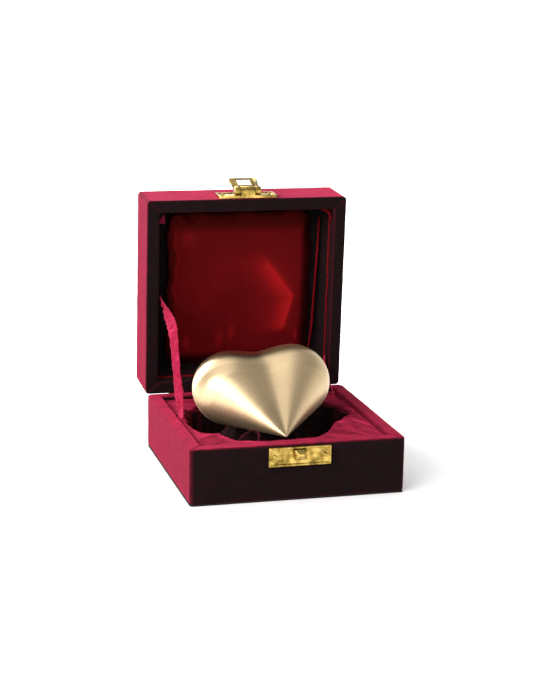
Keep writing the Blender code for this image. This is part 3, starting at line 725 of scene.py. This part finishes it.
# painted light and shade on the satin panel: painted highlights on its folds, painted shade round its edges
paintedLightShade = pillow.data.attributes.new("paintedLightShade", "FLOAT", "POINT")
paintedLightShade.data.foreach_set("value", np.concatenate((pillowPaintedShading.ravel(), (0.44, 0.44))).astype(np.float32))
settle(pillow, "lid", "satin", "satin", "lid_satin_panel")
print("lid lining made")


def tube(name, path, radius, sides, closed=False):
    # a round section carried along a path that runs mostly level; radius may vary along it
    along = np.roll(path, -1, 0) - np.roll(path, 1, 0) if closed else np.gradient(path, axis=0)
    along /= np.linalg.norm(along, axis=1)[:, None]
    side = np.cross(along, (0.0, 0.05, 1.0))
    side /= np.linalg.norm(side, axis=1)[:, None]
    up = np.cross(side, along)
    turn = roundTurn(sides)[None, :, None]
    r = np.broadcast_to(radius, (len(path),))[:, None, None]
    ring = side[:, None] * np.cos(turn) + up[:, None] * np.sin(turn)
    return makeMesh(name, np.swapaxes(path[:, None] + ring * r, 0, 1), "joined" if closed else "poles")


hemSettings = {
    "radius": 0.5 * mm,
    "depth": 7.0 * mm,
    "wander": 0.45 * mm,
    "sway": 0.0016,
    "standOff": 0.25 * mm,
    "corner": 1.0 * mm,
}


def hemPath(s):
    # once round the inner rim, where the turned-in velvet meets the lining; it wanders a little
    inset = coverSettings["wall"] + s["standOff"]
    path = onHeight(boxRing(inset, s["corner"], 60, 6), lidRim + s["depth"])
    path[:, 2] += s["wander"] * ripple(path, 18 * mm, 51)
    path[:, :2] *= (1 + s["sway"] * ripple(path, 9 * mm, 52))[:, None]
    return moved(path, lidTurn)


hem = tube("lid_hem", hemPath(hemSettings), hemSettings["radius"], 10, closed=True)
settle(hem, "lid", "piping", "satin")

sharpAngle = math.radians(40)
def turned(name, profile, place, aim, sides, ends="poles"):
    # a turned shape: (radius, station) from one end to the other, or once round a ring that is "joined",
    # about a line through place towards aim
    profile = np.asarray(profile, float)
    grid = polar(roundTurn(sides)[:, None], np.maximum(profile[:, 0], 0.004 * mm), profile[:, 1])
    piece = makeMesh(name, moved(grid, aimedAt(place, aim)), ends)
    piece.data.set_sharp_from_angle(angle=sharpAngle)
    return piece


def dome(radius, height, count=7):
    # a quarter ellipse from the crown out to the edge
    t = np.linspace(0.0, math.pi / 2, count)
    return np.stack((radius * np.sin(t), height * np.cos(t)), -1)


nailSettings = {"crown": 0.5 * mm, "shank": 0.5 * mm, "taper": 1.2 * mm, "point": 0.05 * mm}


def nail(s, name, body, shut):
    # a domed upholstery nail: head outwards, and a shank that tapers to a point
    low, high = nodeBox(name, shut)
    side = math.copysign(1, (low + high)[1])
    outer, inner = (high[1], low[1]) if side > 0 else (low[1], high[1])
    head = (high[0] - low[0]) / 2
    reach = abs(outer - inner)
    profile = np.concatenate((dome(head, s["crown"]) - (0, s["crown"]),
                              [(head * 0.98, -0.56 * mm), (s["shank"], -0.6 * mm),
                               (s["shank"], -reach + s["taper"]), (s["point"], -reach)]))
    place = Vector(((low[0] + high[0]) / 2, outer, (low[2] + high[2]) / 2))
    aim = Vector((0, side, 0))
    if shut:
        place, aim = lidTurn @ place, lidTurn.to_3x3() @ aim
    settle(turned("head_" + name, profile, place, aim, 28), body, "brass", "brass", name)


for name in sorted(nodes):
    if "_nail_" in name:
        onLid = "_lid_" in name or name.startswith("latch")
        nail(nailSettings, name, "lid" if onLid else "base", onLid)


def wirePin(name, node, body):
    # a drawn pin with rounded ends, along X
    low, high = nodeBox(node)
    radius = (high[1] - low[1]) / 2
    cap = dome(radius, radius * 0.5)
    run = (high[0] - low[0]) / 2 - radius * 0.5
    profile = np.concatenate((cap + (0, run), cap[::-1] * (1, -1) - (0, run)))
    settle(turned(name, profile, Vector((low + high) / 2), (1, 0, 0), 28), body, "wire", "pin_wire", node)


wirePin("left_hinge_wire", "hinge_left_pin", "base")
wirePin("right_hinge_wire", "hinge_right_pin", "base")
wirePin("hasp_wire", "hasp_hinge_pin", "lid")


def refined(name, node, body, width):
    # a copy of a brass fitting with its coplanar faces merged and its edges eased
    mesh = nodes[node].data.copy()
    mesh.name = name
    mesh.materials.clear()
    shell = bmesh.new()
    shell.from_mesh(mesh)
    bmesh.ops.remove_doubles(shell, verts=shell.verts, dist=0.002 * mm)
    bmesh.ops.dissolve_limit(shell, angle_limit=math.radians(1), verts=shell.verts, edges=shell.edges)
    shell.to_mesh(mesh)
    shell.free()
    piece = bpy.data.objects.new(name, mesh)
    bpy.context.scene.collection.objects.link(piece)
    edges = piece.modifiers.new("eased edges", "BEVEL")
    edges.width = width
    edges.segments = 3
    edges.limit_method = "ANGLE"
    edges.angle_limit = math.radians(32)
    edges.harden_normals = True
    mesh.shade_smooth()
    settle(piece, body, "brass", "brass", node)


edgeWidths = {"strike_plate": ("base", 0.22), "strike_lug": ("base", 0.4), "latch_plate": ("lid", 0.18),
              "hasp_flap": ("hasp", 0.18)}
for name, (body, width) in edgeWidths.items():
    refined(name + "_stamping", name, body, width * mm)
for side in ("left", "right"):
    for leafOf in ("base", "lid"):
        refined(f"{side}_{leafOf}_hinge_leaf", f"hinge_{side}_{leafOf}_leaf", leafOf, 0.15 * mm)
print("brass fittings made")


heartSettings = {
    "columns": 256,
    "rows": 160,
    "spread": 15.7 * mm,
    "reach": 41.33 * mm,
    "lobe": 18.96 * mm,
    "tip": 0.3 * mm,
    "flatness": 0.954,
    "blend": 0.306,
    "tilt": 22.8,
    "yaw": 3.95,
    "roll": -3.2,
}
heartTip = Vector(joints["heart_tilt"]["pos_m"])
heartPlace = Matrix.Translation(heartTip) @ Matrix.Rotation(math.radians(heartSettings["yaw"]), 4, "Z") \
    @ Matrix.Rotation(math.radians(heartSettings["tilt"]), 4, "X") \
    @ Matrix.Rotation(math.radians(heartSettings["roll"]), 4, "Y")


def lobeDistance(s, points, spread):
    # distance to a cone with a sharp round end at the tip and a lobe at (spread, reach)
    flat = points / np.array((1, 1, s["flatness"]))
    end = np.array((spread, s["reach"], 0))
    length = np.linalg.norm(end)
    along = flat @ end / length
    away = np.linalg.norm(flat - along[..., None] * end / length, axis=-1)
    slope = (s["tip"] - s["lobe"]) / length
    level = math.sqrt(1 - slope * slope)
    side = along * level - away * slope
    cone = away * level + along * slope - s["tip"]
    lobe = np.hypot(away, along - length) - s["lobe"]
    return np.where(side < 0, np.hypot(away, along) - s["tip"], np.where(side > level * length, lobe, cone))


def heartDistance(s, points):
    # the nearer of two lobes, joined by a blend that widens with the distance from the tip
    left, right = lobeDistance(s, points, -s["spread"]), lobeDistance(s, points, s["spread"])
    reach = np.maximum(s["blend"] * np.linalg.norm(points, axis=-1), 1e-9)
    mix = np.maximum(reach - np.abs(left - right), 0) / reach
    return np.minimum(left, right) - mix * mix * reach / 4


def heartGrid(s):
    # rays from the heart's middle: columns run round it from its underside, rows from the tip to the cleft
    middle = np.array((0, s["reach"] * 0.82, 0))
    fall = math.pi * np.linspace(0, 1, s["rows"] + 2)[1:-1] ** 1.15
    turn = -math.pi / 2 + roundTurn(s["columns"])
    turn, fall = np.meshgrid(turn, fall, indexing="ij")
    rays = np.stack((np.sin(fall) * np.cos(turn), -np.cos(fall), np.sin(fall) * np.sin(turn)), -1)
    near, far = np.zeros(fall.shape), np.full(fall.shape, 3 * s["reach"])
    for _ in range(36):
        half = (near + far) / 2
        inside = heartDistance(s, middle + rays * half[..., None]) < 0
        near, far = np.where(inside, half, near), np.where(inside, far, half)
    return middle + rays * far[..., None]


heart = makeMesh("heart", moved(heartGrid(heartSettings), heartPlace))
settle(heart, "heart", "heart", "brushed_brass", "heart_shell")
print("heart made")


plugJoint = joints["plug_turn"]
plugAim = -Vector(plugJoint["axis"])
plugAt = Vector(plugJoint["pos_m"])
stopperSettings = {
    "bushRadius": 7.8 * mm,
    "bushHeight": 6.2 * mm,
    "bushProud": 0.15 * mm,
    "recess": 6.3 * mm,
    "bore": 4.4 * mm,
    "ledge": 0.9 * mm,
    "head": 6.0 * mm,
    "headHeight": 1.2 * mm,
    "stem": 4.1 * mm,
    "stemLength": 5.0 * mm,
    "slot": (14.0 * mm, 1.2 * mm, 0.4 * mm),
    "thread": 0.16 * mm,
    "pitch": 0.7 * mm,
}


def bushProfile(s):
    # (radius, station) round a turned ring; stations run into the heart from its outer face
    b, h, r, o, k = s["bushRadius"], s["bushHeight"], s["recess"], s["bore"], s["ledge"]
    e = 0.25 * mm
    return [(r + e, 0), (b - e, 0), (b, e), (b, h - e), (b - e, h), (o + e, h), (o, h - e), (o, k + e),
            (o + e, k), (r - e, k), (r, k - e), (r, e)]


def plugProfile(s):
    # a slotted cheese head, an undercut, and a stem with a fine thread, drawn as rounded ridges
    head, half, stem = s["head"], s["headHeight"] / 2, s["stem"]
    turns = np.arange(0.6 * mm, s["stemLength"] - 0.5 * mm, s["pitch"] / 6)
    ridge = stem - s["thread"] * (0.5 - 0.5 * np.cos(turns / s["pitch"] * 2 * math.pi))
    return np.concatenate((
        [(0, -half), (head - 0.8 * mm, -half)],
        arcLine((head - 0.35 * mm, -half + 0.35 * mm), 0.35 * mm, -90, 0, 5),
        [(head, half - 0.1 * mm), (head - 0.1 * mm, half), (stem - 0.3 * mm, half + 0.02 * mm)],
        np.stack((ridge, half + turns), -1),
        [(stem - 0.5 * mm, half + s["stemLength"]), (0, half + s["stemLength"])]))


def sunkSlot(piece, place, aim, size):
    # a slot cut across the middle of a flat face for good; size is its length, width and depth
    length, width, depth = size
    turnTo = aimedAt(place, aim)
    shell = bmesh.new()
    bmesh.ops.create_cube(shell, size=1, matrix=turnTo @ Matrix.Diagonal((length, width, depth * 2, 1)))
    cutter = bpy.data.objects.new("slot cutter", bpy.data.meshes.new("slot cutter"))
    shell.to_mesh(cutter.data)
    shell.free()
    bpy.context.scene.collection.objects.link(cutter)
    step = piece.modifiers.new("slot", "BOOLEAN")
    step.operation, step.solver, step.object = "DIFFERENCE", "EXACT", cutter
    bpy.context.view_layer.update()
    whole = piece.evaluated_get(bpy.context.evaluated_depsgraph_get())
    piece.data = bpy.data.meshes.new_from_object(whole)
    piece.modifiers.clear()
    bpy.data.objects.remove(cutter)
    piece.data.set_sharp_from_angle(angle=sharpAngle)


bushAt = plugAt - plugAim * stopperSettings["bushProud"]
bush = turned("heart_bush_ring", bushProfile(stopperSettings), bushAt, plugAim, 72, "joined")
settle(bush, "heart", "heartFitting", "brushed_brass", "heart_bush")
plug = turned("heart_stopper", plugProfile(stopperSettings), plugAt, plugAim, 72)
sunkSlot(plug, plugAt - plugAim * stopperSettings["headHeight"] / 2, plugAim, stopperSettings["slot"])
settle(plug, "plug", "heartFitting", "brushed_brass", "heart_plug")
print("stopper made")


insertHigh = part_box("insert_velvet")[1]
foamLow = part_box("insert_foam")[0].z
insertSettings = {
    "wellRadius": 42.6 * mm,
    "wellFront": 35.8 * mm,
    "overhang": 0.13 * mm,
    "notch": 1.35 * mm,
    "notchHalf": 5.5 * mm,
    "notches": ((-1, 7 * mm), (1, 33 * mm)),
    "thickness": 0.7 * mm,
    "lip": 1.7 * mm,
    "lipEnd": 8.5 * mm,
    "ragged": 0.5 * mm,
    "deepest": -0.15,
    "edge": ((-66.5, 37.6), (-50.3, 34.4), (-34, 33.2), (-22.7, 33.6), (-10.7, 37.3), (2.8, 41.3),
             (14, 42.6), (60, 42.6), (150, 42.6), (172, 42.4), (188, 42.0), (198, 42.4), (206, 42.0),
             (211, 40.4), (220, 41.2), (228, 42.4), (238, 42.6), (255, 42.6), (270, 42.6)),
    "mounds": ((27, -22, 9, 2.1), (36, -16, 6, 1.2), (-36, -30, 8, 1.5), (-44, 12, 5, 1.0),
               (20, -39, 10, 0.7), (42, 4, 5, 1.0), (-22, -39.5, 6, 0.8)),
    "creases": ((34.0, -7.0, 43.5, -8.5, 1.4, 1.3), (34.5, -10.5, 43.0, -11.5, 1.6, 0.9),
                (-41, 24, -36.5, 8, 1.3, 1.7), (-45, -33, -33, -26, 1.8, 0.6),
                (36, -36, 24, -30, 2.2, 0.45), (45, -26, 36, -12, 2.4, 0.4)),
    "waves": 0.16 * mm,
    "fineWaves": 0.05 * mm,
    "gather": 0.45 * mm,
    "flare": 0.3 * mm,
}


def wellEdge(s, turn):
    # radius of the cloth's inner edge at each direction: a smooth curve through chosen points, a little
    # ragged, and never outside the well
    angles, radii = np.array(s["edge"]).T
    angles = np.concatenate((angles, angles[:1] + 360))
    radii = np.concatenate((radii, radii[:1]))
    start = s["edge"][0][0]
    fine = np.interp((np.degrees(turn) - start) % 360 + start, angles, radii) * mm
    window = np.hanning(25)
    window /= window.sum()
    fine = np.convolve(np.concatenate((fine[-12:], fine, fine[:12])), window, "valid")
    at = polar(turn, 40 * mm, 0)
    fine = fine + s["ragged"] * (ripple(at, 7 * mm, 61) + 0.5 * ripple(at, 2.6 * mm, 62))
    front = np.where(np.sin(turn) < 0, s["wellFront"] / np.maximum(-np.sin(turn), 1e-6), 1.0)
    return np.minimum(fine, np.minimum(s["wellRadius"], front))


def insertOuter(s, turn, high):
    # radius of the insert's outer edge at each direction: a rectangle with a notch for each ribbon
    c, n = np.cos(turn), np.sin(turn)
    flat = np.minimum((high[0] + s["overhang"]) / np.maximum(np.abs(c), 1e-6),
                      (high[1] + s["overhang"]) / np.maximum(np.abs(n), 1e-6))
    x, y = flat * c, flat * n
    for side, centre in s["notches"]:
        near = (np.sign(x) == side) * ease((s["notchHalf"] + 0.5 * mm - np.abs(y - centre)) / (0.6 * mm))
        onSide = np.abs(x) > high[0] - 0.1 * mm
        flat = flat - near * onSide * s["notch"] / np.maximum(np.abs(c), 0.3)
    return flat


def insertRise(s, x, y):
    # how far the loosely laid velvet stands above flat, with (x, y) in mm: mounds and drawn creases
    rise = np.zeros(x.shape)
    for cx, cy, size, height in s["mounds"]:
        rise = rise + height * np.exp(-((x - cx) ** 2 + (y - cy) ** 2) / size ** 2)
    for x0, y0, x1, y1, width, height in s["creases"]:
        dx, dy = x1 - x0, y1 - y0
        share = ((x - x0) * dx + (y - y0) * dy) / (dx * dx + dy * dy)
        bow = np.clip(share, 0, 1)
        away = np.hypot(x - x0 - bow * dx, y - y0 - bow * dy)
        rise = rise + height * np.exp(-(away / width) ** 2)
    return np.maximum(rise, s["deepest"]) * mm


def insertCover(s):
    # directions round the well by stations from the skirt's foot, up the side, over the top to the lip,
    # down into the well, and back behind
    turn = roundTurn(900)[:, None]
    inner, outer = wellEdge(s, turn[:, 0])[:, None], insertOuter(s, turn, insertHigh)
    top, t, lip = insertTop - 0.1 * mm, s["thickness"], s["lip"]
    skirt = foamLow + 0.2 * mm
    up = np.linspace(skirt, top - 0.7 * mm, 12)[None]
    k = np.linspace(0, 1, 58)[None]
    flatR = (outer - 0.9 * mm) * (1 - k) + (inner + lip) * k
    at = polar(turn, flatR, 0)
    waves = s["waves"] * ripple(at, 9 * mm, 63) + s["fineWaves"] * ripple(at, 3 * mm, 64)
    flatZ = top + ease(k / 0.1) * (insertRise(s, at[..., 0] / mm, at[..., 1] / mm) + waves)
    a = np.radians(np.linspace(80, 0, 7))[None]
    lipR, lipZ = inner + lip - lip * np.cos(a), flatZ[:, -1:] - lip + lip * np.sin(a)
    down = np.linspace(0.08, 1, 12)[None]
    fall = flatZ[:, -1:] - lip - down * (s["lipEnd"] - lip)
    at = polar(turn, 40 * mm, fall * 0.3)
    gather = (s["gather"] * ripple(at, 6 * mm, 65)).clip(-0.4 * mm, 0.4 * mm)
    wallR = np.minimum(inner - gather * down + s["flare"] * down, s["wellRadius"] + 0.2 * mm)
    backR = np.concatenate((wallR[:, -1:] + t, inner + t, outer - t - 0.4 * mm, outer - t), 1)
    level = np.ones_like(inner)
    backZ = np.concatenate((fall[:, -1:], level * (top - lip - t, top - t - 0.6 * mm, skirt)), 1)
    r = np.concatenate((outer + 0 * up, outer - 0.2 * mm, outer - 0.5 * mm, flatR, lipR, wallR,
                        np.minimum(backR, outer - t)), 1)
    z = np.concatenate((up * level, level * (top - 0.3 * mm, top - 0.08 * mm), flatZ, lipZ, fall, backZ), 1)
    return polar(turn, r, z)


insertCloth = makeMesh("insert_cover", insertCover(insertSettings), "joined")
# painted sheen on the insert cover's top and left faces
paintSheenOnFacing(insertCloth, up=0.9, left=0.2)
settle(insertCloth, "insert", "boxVelvet", "velvet", "insert_velvet")


nestSettings = {
    "radius": 42.4 * mm,
    "front": 35.5 * mm,
    "floor": 0.75 * mm,
    "floorWaves": 0.22 * mm,
    "inset": 1.7 * mm,
    "bend": 1.2 * mm,
    "crumple": 0.55 * mm,
    "flare": 0.4 * mm,
}


def nestCup(s):
    # the well's lining: rings from the middle of the floor out and up the wall, and back underneath
    turn = roundTurn(480)[:, None]
    forward = -np.sin(turn)
    edge = np.minimum(s["radius"], np.where(forward > 0, s["front"] / np.maximum(forward, 1e-6), 1.0))
    low, high, b = wellFloor + 0.1 * mm, wellRim - 1.6 * mm, s["bend"]
    k = np.linspace(0.01, 1, 60)[None]
    inner = edge - s["inset"]
    floorR = (inner - b) * k
    at = polar(turn, floorR, 0)
    waves = s["floorWaves"] * np.abs(ripple(at, 8 * mm, 71)) * ease(k / 0.1) * ease((1 - k) / 0.05)
    floorZ = low + s["floor"] + waves
    a = np.radians(np.linspace(-80, 0, 7))[None]
    bendR, bendZ = inner - b + b * np.cos(a), floorZ[:, -1:] + b + b * np.sin(a)
    rise = np.linspace(0.04, 1, 34)[None]
    wallZ = bendZ[:, -1:] + rise * (high - bendZ[:, -1:])
    at = polar(turn, 45 * mm, wallZ * 0.35)
    folds = s["crumple"] * (ripple(at, 9 * mm, 72) + 0.4 * ripple(at * (1, 1, 2.5), 4 * mm, 73))
    wallR = inner + folds.clip(-1.0 * mm, 0.9 * mm) * ease(rise / 0.12) + s["flare"] * rise
    backR = np.concatenate((edge - 0.1 * mm, edge - 0.1 * mm, edge * 0.5, edge * 0.02), 1)
    under = low + 0.02 * mm
    backZ = np.ones_like(turn) * (high, under, under, under)
    return polar(turn, np.concatenate((floorR, bendR, wallR, backR), 1),
                 np.concatenate((floorZ, bendZ, wallZ, backZ), 1))


nest = makeMesh("well_plush", nestCup(nestSettings))
settle(nest, "insert", "wellVelvet", "velvet", "well_lining")


padSettings = {
    "middle": (-4.8, 5.0),
    "half": (27.0, 17.0),
    "height": 18.0 * mm,
    "crumple": 1.1 * mm,
    "clearance": 0.5 * mm,
    "hollow": 0.15 * mm,
}


def lobeUnderside(s, x, y):
    # height of the heart's underside over a place, from its two lobes taken as balls
    height = np.full(x.shape, 1.0)
    for side in (-1, 1):
        centre = heartPlace @ Vector((side * heartSettings["spread"], heartSettings["reach"], 0))
        away = (x - centre.x) ** 2 + (y - centre.y) ** 2
        ball = heartSettings["lobe"] + s["clearance"]
        under = centre.z - np.sqrt(np.maximum(ball ** 2 - away, 0)) * 0.985
        height = np.where(away < ball ** 2, np.minimum(height, under), height)
    return height


def nestPad(s):
    # loose velvet bunched up under the heart: a mound whose height falls to nothing at its oval edge, with
    # folds that run down its sides, pressed hollow where the heart's lobes lie on it
    turn = roundTurn(300)[:, None]
    share = np.concatenate((np.linspace(0.01, 1, 90), np.linspace(0.97, 0.01, 8)))
    under = np.arange(len(share)) >= 90
    reach = share * (1 + 0.05 * np.sin(turn * 7 + 1) + 0.035 * np.sin(turn * 12))
    x = (s["middle"][0] + s["half"][0] * np.cos(turn) * reach) * mm
    y = (s["middle"][1] + s["half"][1] * np.sin(turn) * reach) * mm
    floor = wellFloor + 0.1 * mm
    at = np.stack((x, y, 0 * x), -1)
    crown = s["height"] * np.clip(1 - share ** 2.6, 0, 1) ** 0.8
    folds = s["crumple"] * (ripple(at, 11 * mm, 81) + 0.5 * ripple(at, 5 * mm, 82))
    height = floor + np.maximum(crown + folds * ease((1 - share) / 0.15), 0.0)
    height = np.minimum(height, lobeUnderside(s, x, y) - s["hollow"] * np.abs(ripple(at, 6 * mm, 83)))
    z = np.where(under, floor - 0.02 * mm, np.maximum(height, floor))
    return np.stack((x, y, z), -1)


pad = makeMesh("well_bunched_velvet", nestPad(padSettings))
settle(pad, "insert", "wellVelvet", "velvet")
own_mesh(pad)


def clothStrip(path, across, width, thickness):
    # a flat strip: a thin lens section carried along a path. across gives the width's direction at each
    # point, and width and thickness may vary along it
    along = np.gradient(path, axis=0)
    along /= np.linalg.norm(along, axis=1)[:, None]
    across = across - (across * along).sum(1)[:, None] * along
    across /= np.linalg.norm(across, axis=1)[:, None]
    normal = np.cross(across, along)
    side = np.linspace(-1, 1, 25)
    edge = np.sqrt(np.clip(1 - side ** 8, 0, 1)) * 0.5
    faceA = np.stack((side, edge), -1)
    ring = np.concatenate((faceA, faceA[::-1][1:-1] * (1, -1)))
    width, thickness = (np.broadcast_to(v, (len(path),))[:, None, None] for v in (width, thickness))
    grid = (path[:, None] + across[:, None] * ring[None, :, 0:1] * width / 2
            + normal[:, None] * ring[None, :, 1:2] * thickness)
    return np.swapaxes(grid, 0, 1)


def smoothPath(points, count):
    # a Catmull-Rom curve through the points
    p = np.asarray(points, float)
    p = np.vstack((2 * p[0] - p[1], p, 2 * p[-1] - p[-2]))
    t = np.linspace(0, len(p) - 3 - 1e-9, count)
    k = t.astype(int)
    f = (t - k)[:, None]
    a, b, c, d = p[k], p[k + 1], p[k + 2], p[k + 3]
    return 0.5 * (2 * b + (c - a) * f + (2 * a - 5 * b + 4 * c - d) * f ** 2
                  + (3 * b - a - 3 * c + d) * f ** 3)


foldSettings = {
    "points": ((-26.5, -37.5, 25.4), (-24.0, -34.0, 26.8), (-19.5, -29.5, 27.8), (-16.2, -27.6, 28.0),
               (-14.6, -30.5, 27.4), (-15.6, -35.0, 26.2), (-16.5, -38.0, 25.2)),
    "radius": 0.55 * mm,
    "thin": 0.75,
}
foldPath = smoothPath(np.array(foldSettings["points"]) * mm, 60)
foldRadius = foldSettings["radius"] * (1 - foldSettings["thin"] * np.abs(np.linspace(-1, 1, 60)) ** 4)
settle(tube("insert_fold", foldPath, foldRadius, 14), "insert", "boxVelvet", "velvet")
print("insert made")


ribbonSettings = {
    "left": {
        "side": -1,
        "points": ((4.5, 15.5), (6.5, 21.0), (9.5, 26.5), (17.5, 34.0), (23.5, 45.0), (28.5, 57.0),
                   (34.5, 65.5), (43.0, 69.5), (50.5, 73.5), (57.0, 77.5)),
        "widths": (4.0, 4.2, 4.4, 5.0, 4.6, 5.0, 6.4, 6.6, 4.2, 2.0),
        "twists": (0, 0, 25, 45, 45, 40, 35, 25, 10, 0),
    },
    "right": {
        "side": 1,
        "points": ((33.0, 16.0), (34.0, 21.5), (37.5, 26.5), (43.0, 30.0), (49.5, 33.5), (54.5, 37.0),
                   (58.5, 41.5)),
        "widths": (4.0, 4.4, 4.4, 4.2, 4.2, 3.8, 2.4),
        "twists": (0, 0, 20, 30, 25, 10, 0),
    },
    "x": 45.1 * mm,
    "thickness": 0.42 * mm,
    "steps": 150,
    "off": 0.5 * mm,
    "crumple": 0.32 * mm,
    "fineCrumple": 0.16 * mm,
    "blendFrom": 0.12,
    "blendTo": 0.97,
}


def stayRibbon(name, s, one, node):
    # a stay ribbon in the plane beside the wall, turned about its own line, with its edges crumpled
    side = one["side"]
    middleLine = smoothPath(np.array(one["points"]) * mm, s["steps"])
    share = np.linspace(0, 1, s["steps"])
    keys = np.linspace(0, 1, len(one["points"]))
    twist = np.radians(np.interp(share, keys, one["twists"]))
    width = np.interp(share, keys, one["widths"]) * mm
    along = np.gradient(middleLine, axis=0)
    along /= np.linalg.norm(along, axis=1)[:, None]
    path = np.stack((np.full(s["steps"], side * s["x"]), middleLine[:, 0], middleLine[:, 1]), -1)
    free = ease(share * 6 - 0.6)
    path[:, 0] -= side * (s["off"] + width / 2 * np.abs(np.sin(twist)) * 0.9) * free * ease((1 - share) * 8)
    across = np.stack((-side * np.sin(twist), -along[:, 1] * np.cos(twist), along[:, 0] * np.cos(twist)), -1)
    grid = clothStrip(path, across, width, s["thickness"])
    at = grid * (0.3, 1, 1)
    crumple = (s["crumple"] * ripple(at, 6.5 * mm, 91 + side)
               + s["fineCrumple"] * ripple(at, 2.4 * mm, 93 + side))
    grid[..., 0] -= side * np.abs(crumple) * free * 1.2
    grid[..., 1] += 0.8 * crumple * free
    piece = settle(makeMesh(name, grid), None, "ribbon", "ribbon", node)
    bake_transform(piece)


for word, node in (("left", "ribbon_left"), ("right", "ribbon_right")):
    stayRibbon("stay_ribbon_" + word, ribbonSettings, ribbonSettings[word], node)
print("ribbons made")


stripSettings = {
    "lid_tray_fold": {
        "points": ((44.4, -88.5, -0.9), (43.9, -70, -1.3), (43.0, -48, -1.1), (42.2, -30, -1.4),
                   (41.0, -16, -0.9)),
        "from": (0, hingeAt.y / mm, liningTop / mm),
        "widths": (0.8, 1.2, 1.0, 1.3, 0.7),
        "thicknesses": (0.7, 0.9, 0.8, 0.9, 0.6),
        "across": (1.0, 0.0, 0.0),
        "finish": "piping",
    },
    "lid_left_tuck": {
        "points": ((-42.6, -42.8, 6.6), (-43.2, -40.6, 6.7), (-43.8, -38.0, 6.6)),
        "from": (0, 0, lidRim / mm),
        "widths": (0.5, 2.2, 3.9),
        "thicknesses": (0.6, 1.3, 0.5),
        "across": (1.0, 0.0, 0.1),
        "finish": "ribbon",
    },
    "lid_right_tuck": {
        "points": ((40.5, -43.3, 6.1), (43.6, -42.6, 5.0), (45.3, -40.0, 4.0), (45.0, -37.4, 4.6)),
        "from": (0, 0, lidRim / mm),
        "widths": (0.5, 1.5, 1.3, 0.4),
        "thicknesses": (0.5, 0.8, 0.8, 0.4),
        "across": (0.3, 0.8, 0.0),
        "finish": "piping",
    },
}


def shutStrip(name, s):
    # a folded strip inside the lid, laid out with the lid shut
    path = smoothPath((np.array(s["points"]) + s["from"]) * mm, 40)
    share, keys = np.linspace(0, 1, 40), np.linspace(0, 1, len(s["widths"]))
    width, thickness = (np.interp(share, keys, s[key]) * mm for key in ("widths", "thicknesses"))
    grid = clothStrip(path, np.array(s["across"]), width, thickness)
    settle(makeMesh(name, moved(grid, lidTurn)), "lid", s["finish"], "satin")


for name, s in stripSettings.items():
    shutStrip(name, s)
print("lid folds made")


flockSettings = {"thickness": 0.8 * mm, "edge": 0.35 * mm}


def flockProfile(s):
    # (depth, height) from the middle of the underside out, round a thin edge, and back above
    t, e = s["thickness"], s["edge"]
    return np.concatenate((
        line((middleDepth, 0), (e, 0), 1.5 * mm), arcLine((e, e), e, 270, 180, 5),
        line((0, e * 1.2), (0, t - e), 1), arcLine((e, t - e), e, 180, 90, 4),
        line((e * 2, t), (middleDepth, t), 6 * mm)))


flock = makeMesh("underside_flock", wrapCover(coverSettings, flockProfile(flockSettings)))
settle(flock, "base", "flock", "felt", "base_underside_cloth")

for name, piece in nodes.items():
    if piece.hide_render:
        continue
    finish = "foam" if name == "insert_foam" else "board"
    for place in piece.material_slots:
        place.material = finishes[finish]
print("boards and underside finished")


floorSettings = {"flat": 2.4, "bend": 2.2, "glow": (0.16, 0.75), "glowReach": (0.09, 0.3)}


def makeFloor(s):
    # a pale sweep that the object stands on: flat, then curving up far beyond it on every side. It is
    # bright by itself, and adds nothing to the light on the object
    material, tree, shader = newMaterial("matt white paper", {
        "Roughness": 0.95, "Emission Color": linear("#FFFFFF"), "Specular IOR Level": 0.0})
    where = addNode(tree, "TexCoord").outputs["Object"]
    away = addNode(tree, "VectorMath", {"operation": "LENGTH"}, {0: where}).outputs["Value"]
    (near, far), (dim, bright) = s["glowReach"], s["glow"]
    glow = addNode(tree, "MapRange", {"From Min": near, "From Max": far, "To Min": dim, "To Max": bright},
                   {"Value": away})
    tree.links.new(glow.outputs[0], shader.inputs["Emission Strength"])
    paint(tree, shader, noiseAt(tree, where, 40, 2.0), [(0.3, "#F6F6F6"), (0.7, "#FCFCFC")])
    rise = np.radians(np.linspace(6, 88, 14))
    radius = np.concatenate((np.linspace(0.05, s["flat"], 12), s["flat"] + s["bend"] * np.sin(rise)))
    height = np.concatenate((np.zeros(12), s["bend"] - s["bend"] * np.cos(rise)))
    sweep = makeMesh("floor", polar(roundTurn(64)[:, None], radius, height), "open")
    sweep.data.materials.append(material)
    middle = bmesh.new()
    middle.from_mesh(sweep.data)
    hole = [edge for edge in middle.edges if edge.is_boundary and edge.verts[0].co.length < 0.1]
    bmesh.ops.holes_fill(middle, edges=hole, sides=0)
    middle.to_mesh(sweep.data)
    middle.free()
    return sweep


sweep = makeFloor(floorSettings)
sweep.visible_diffuse = False
sweep.visible_shadow = False
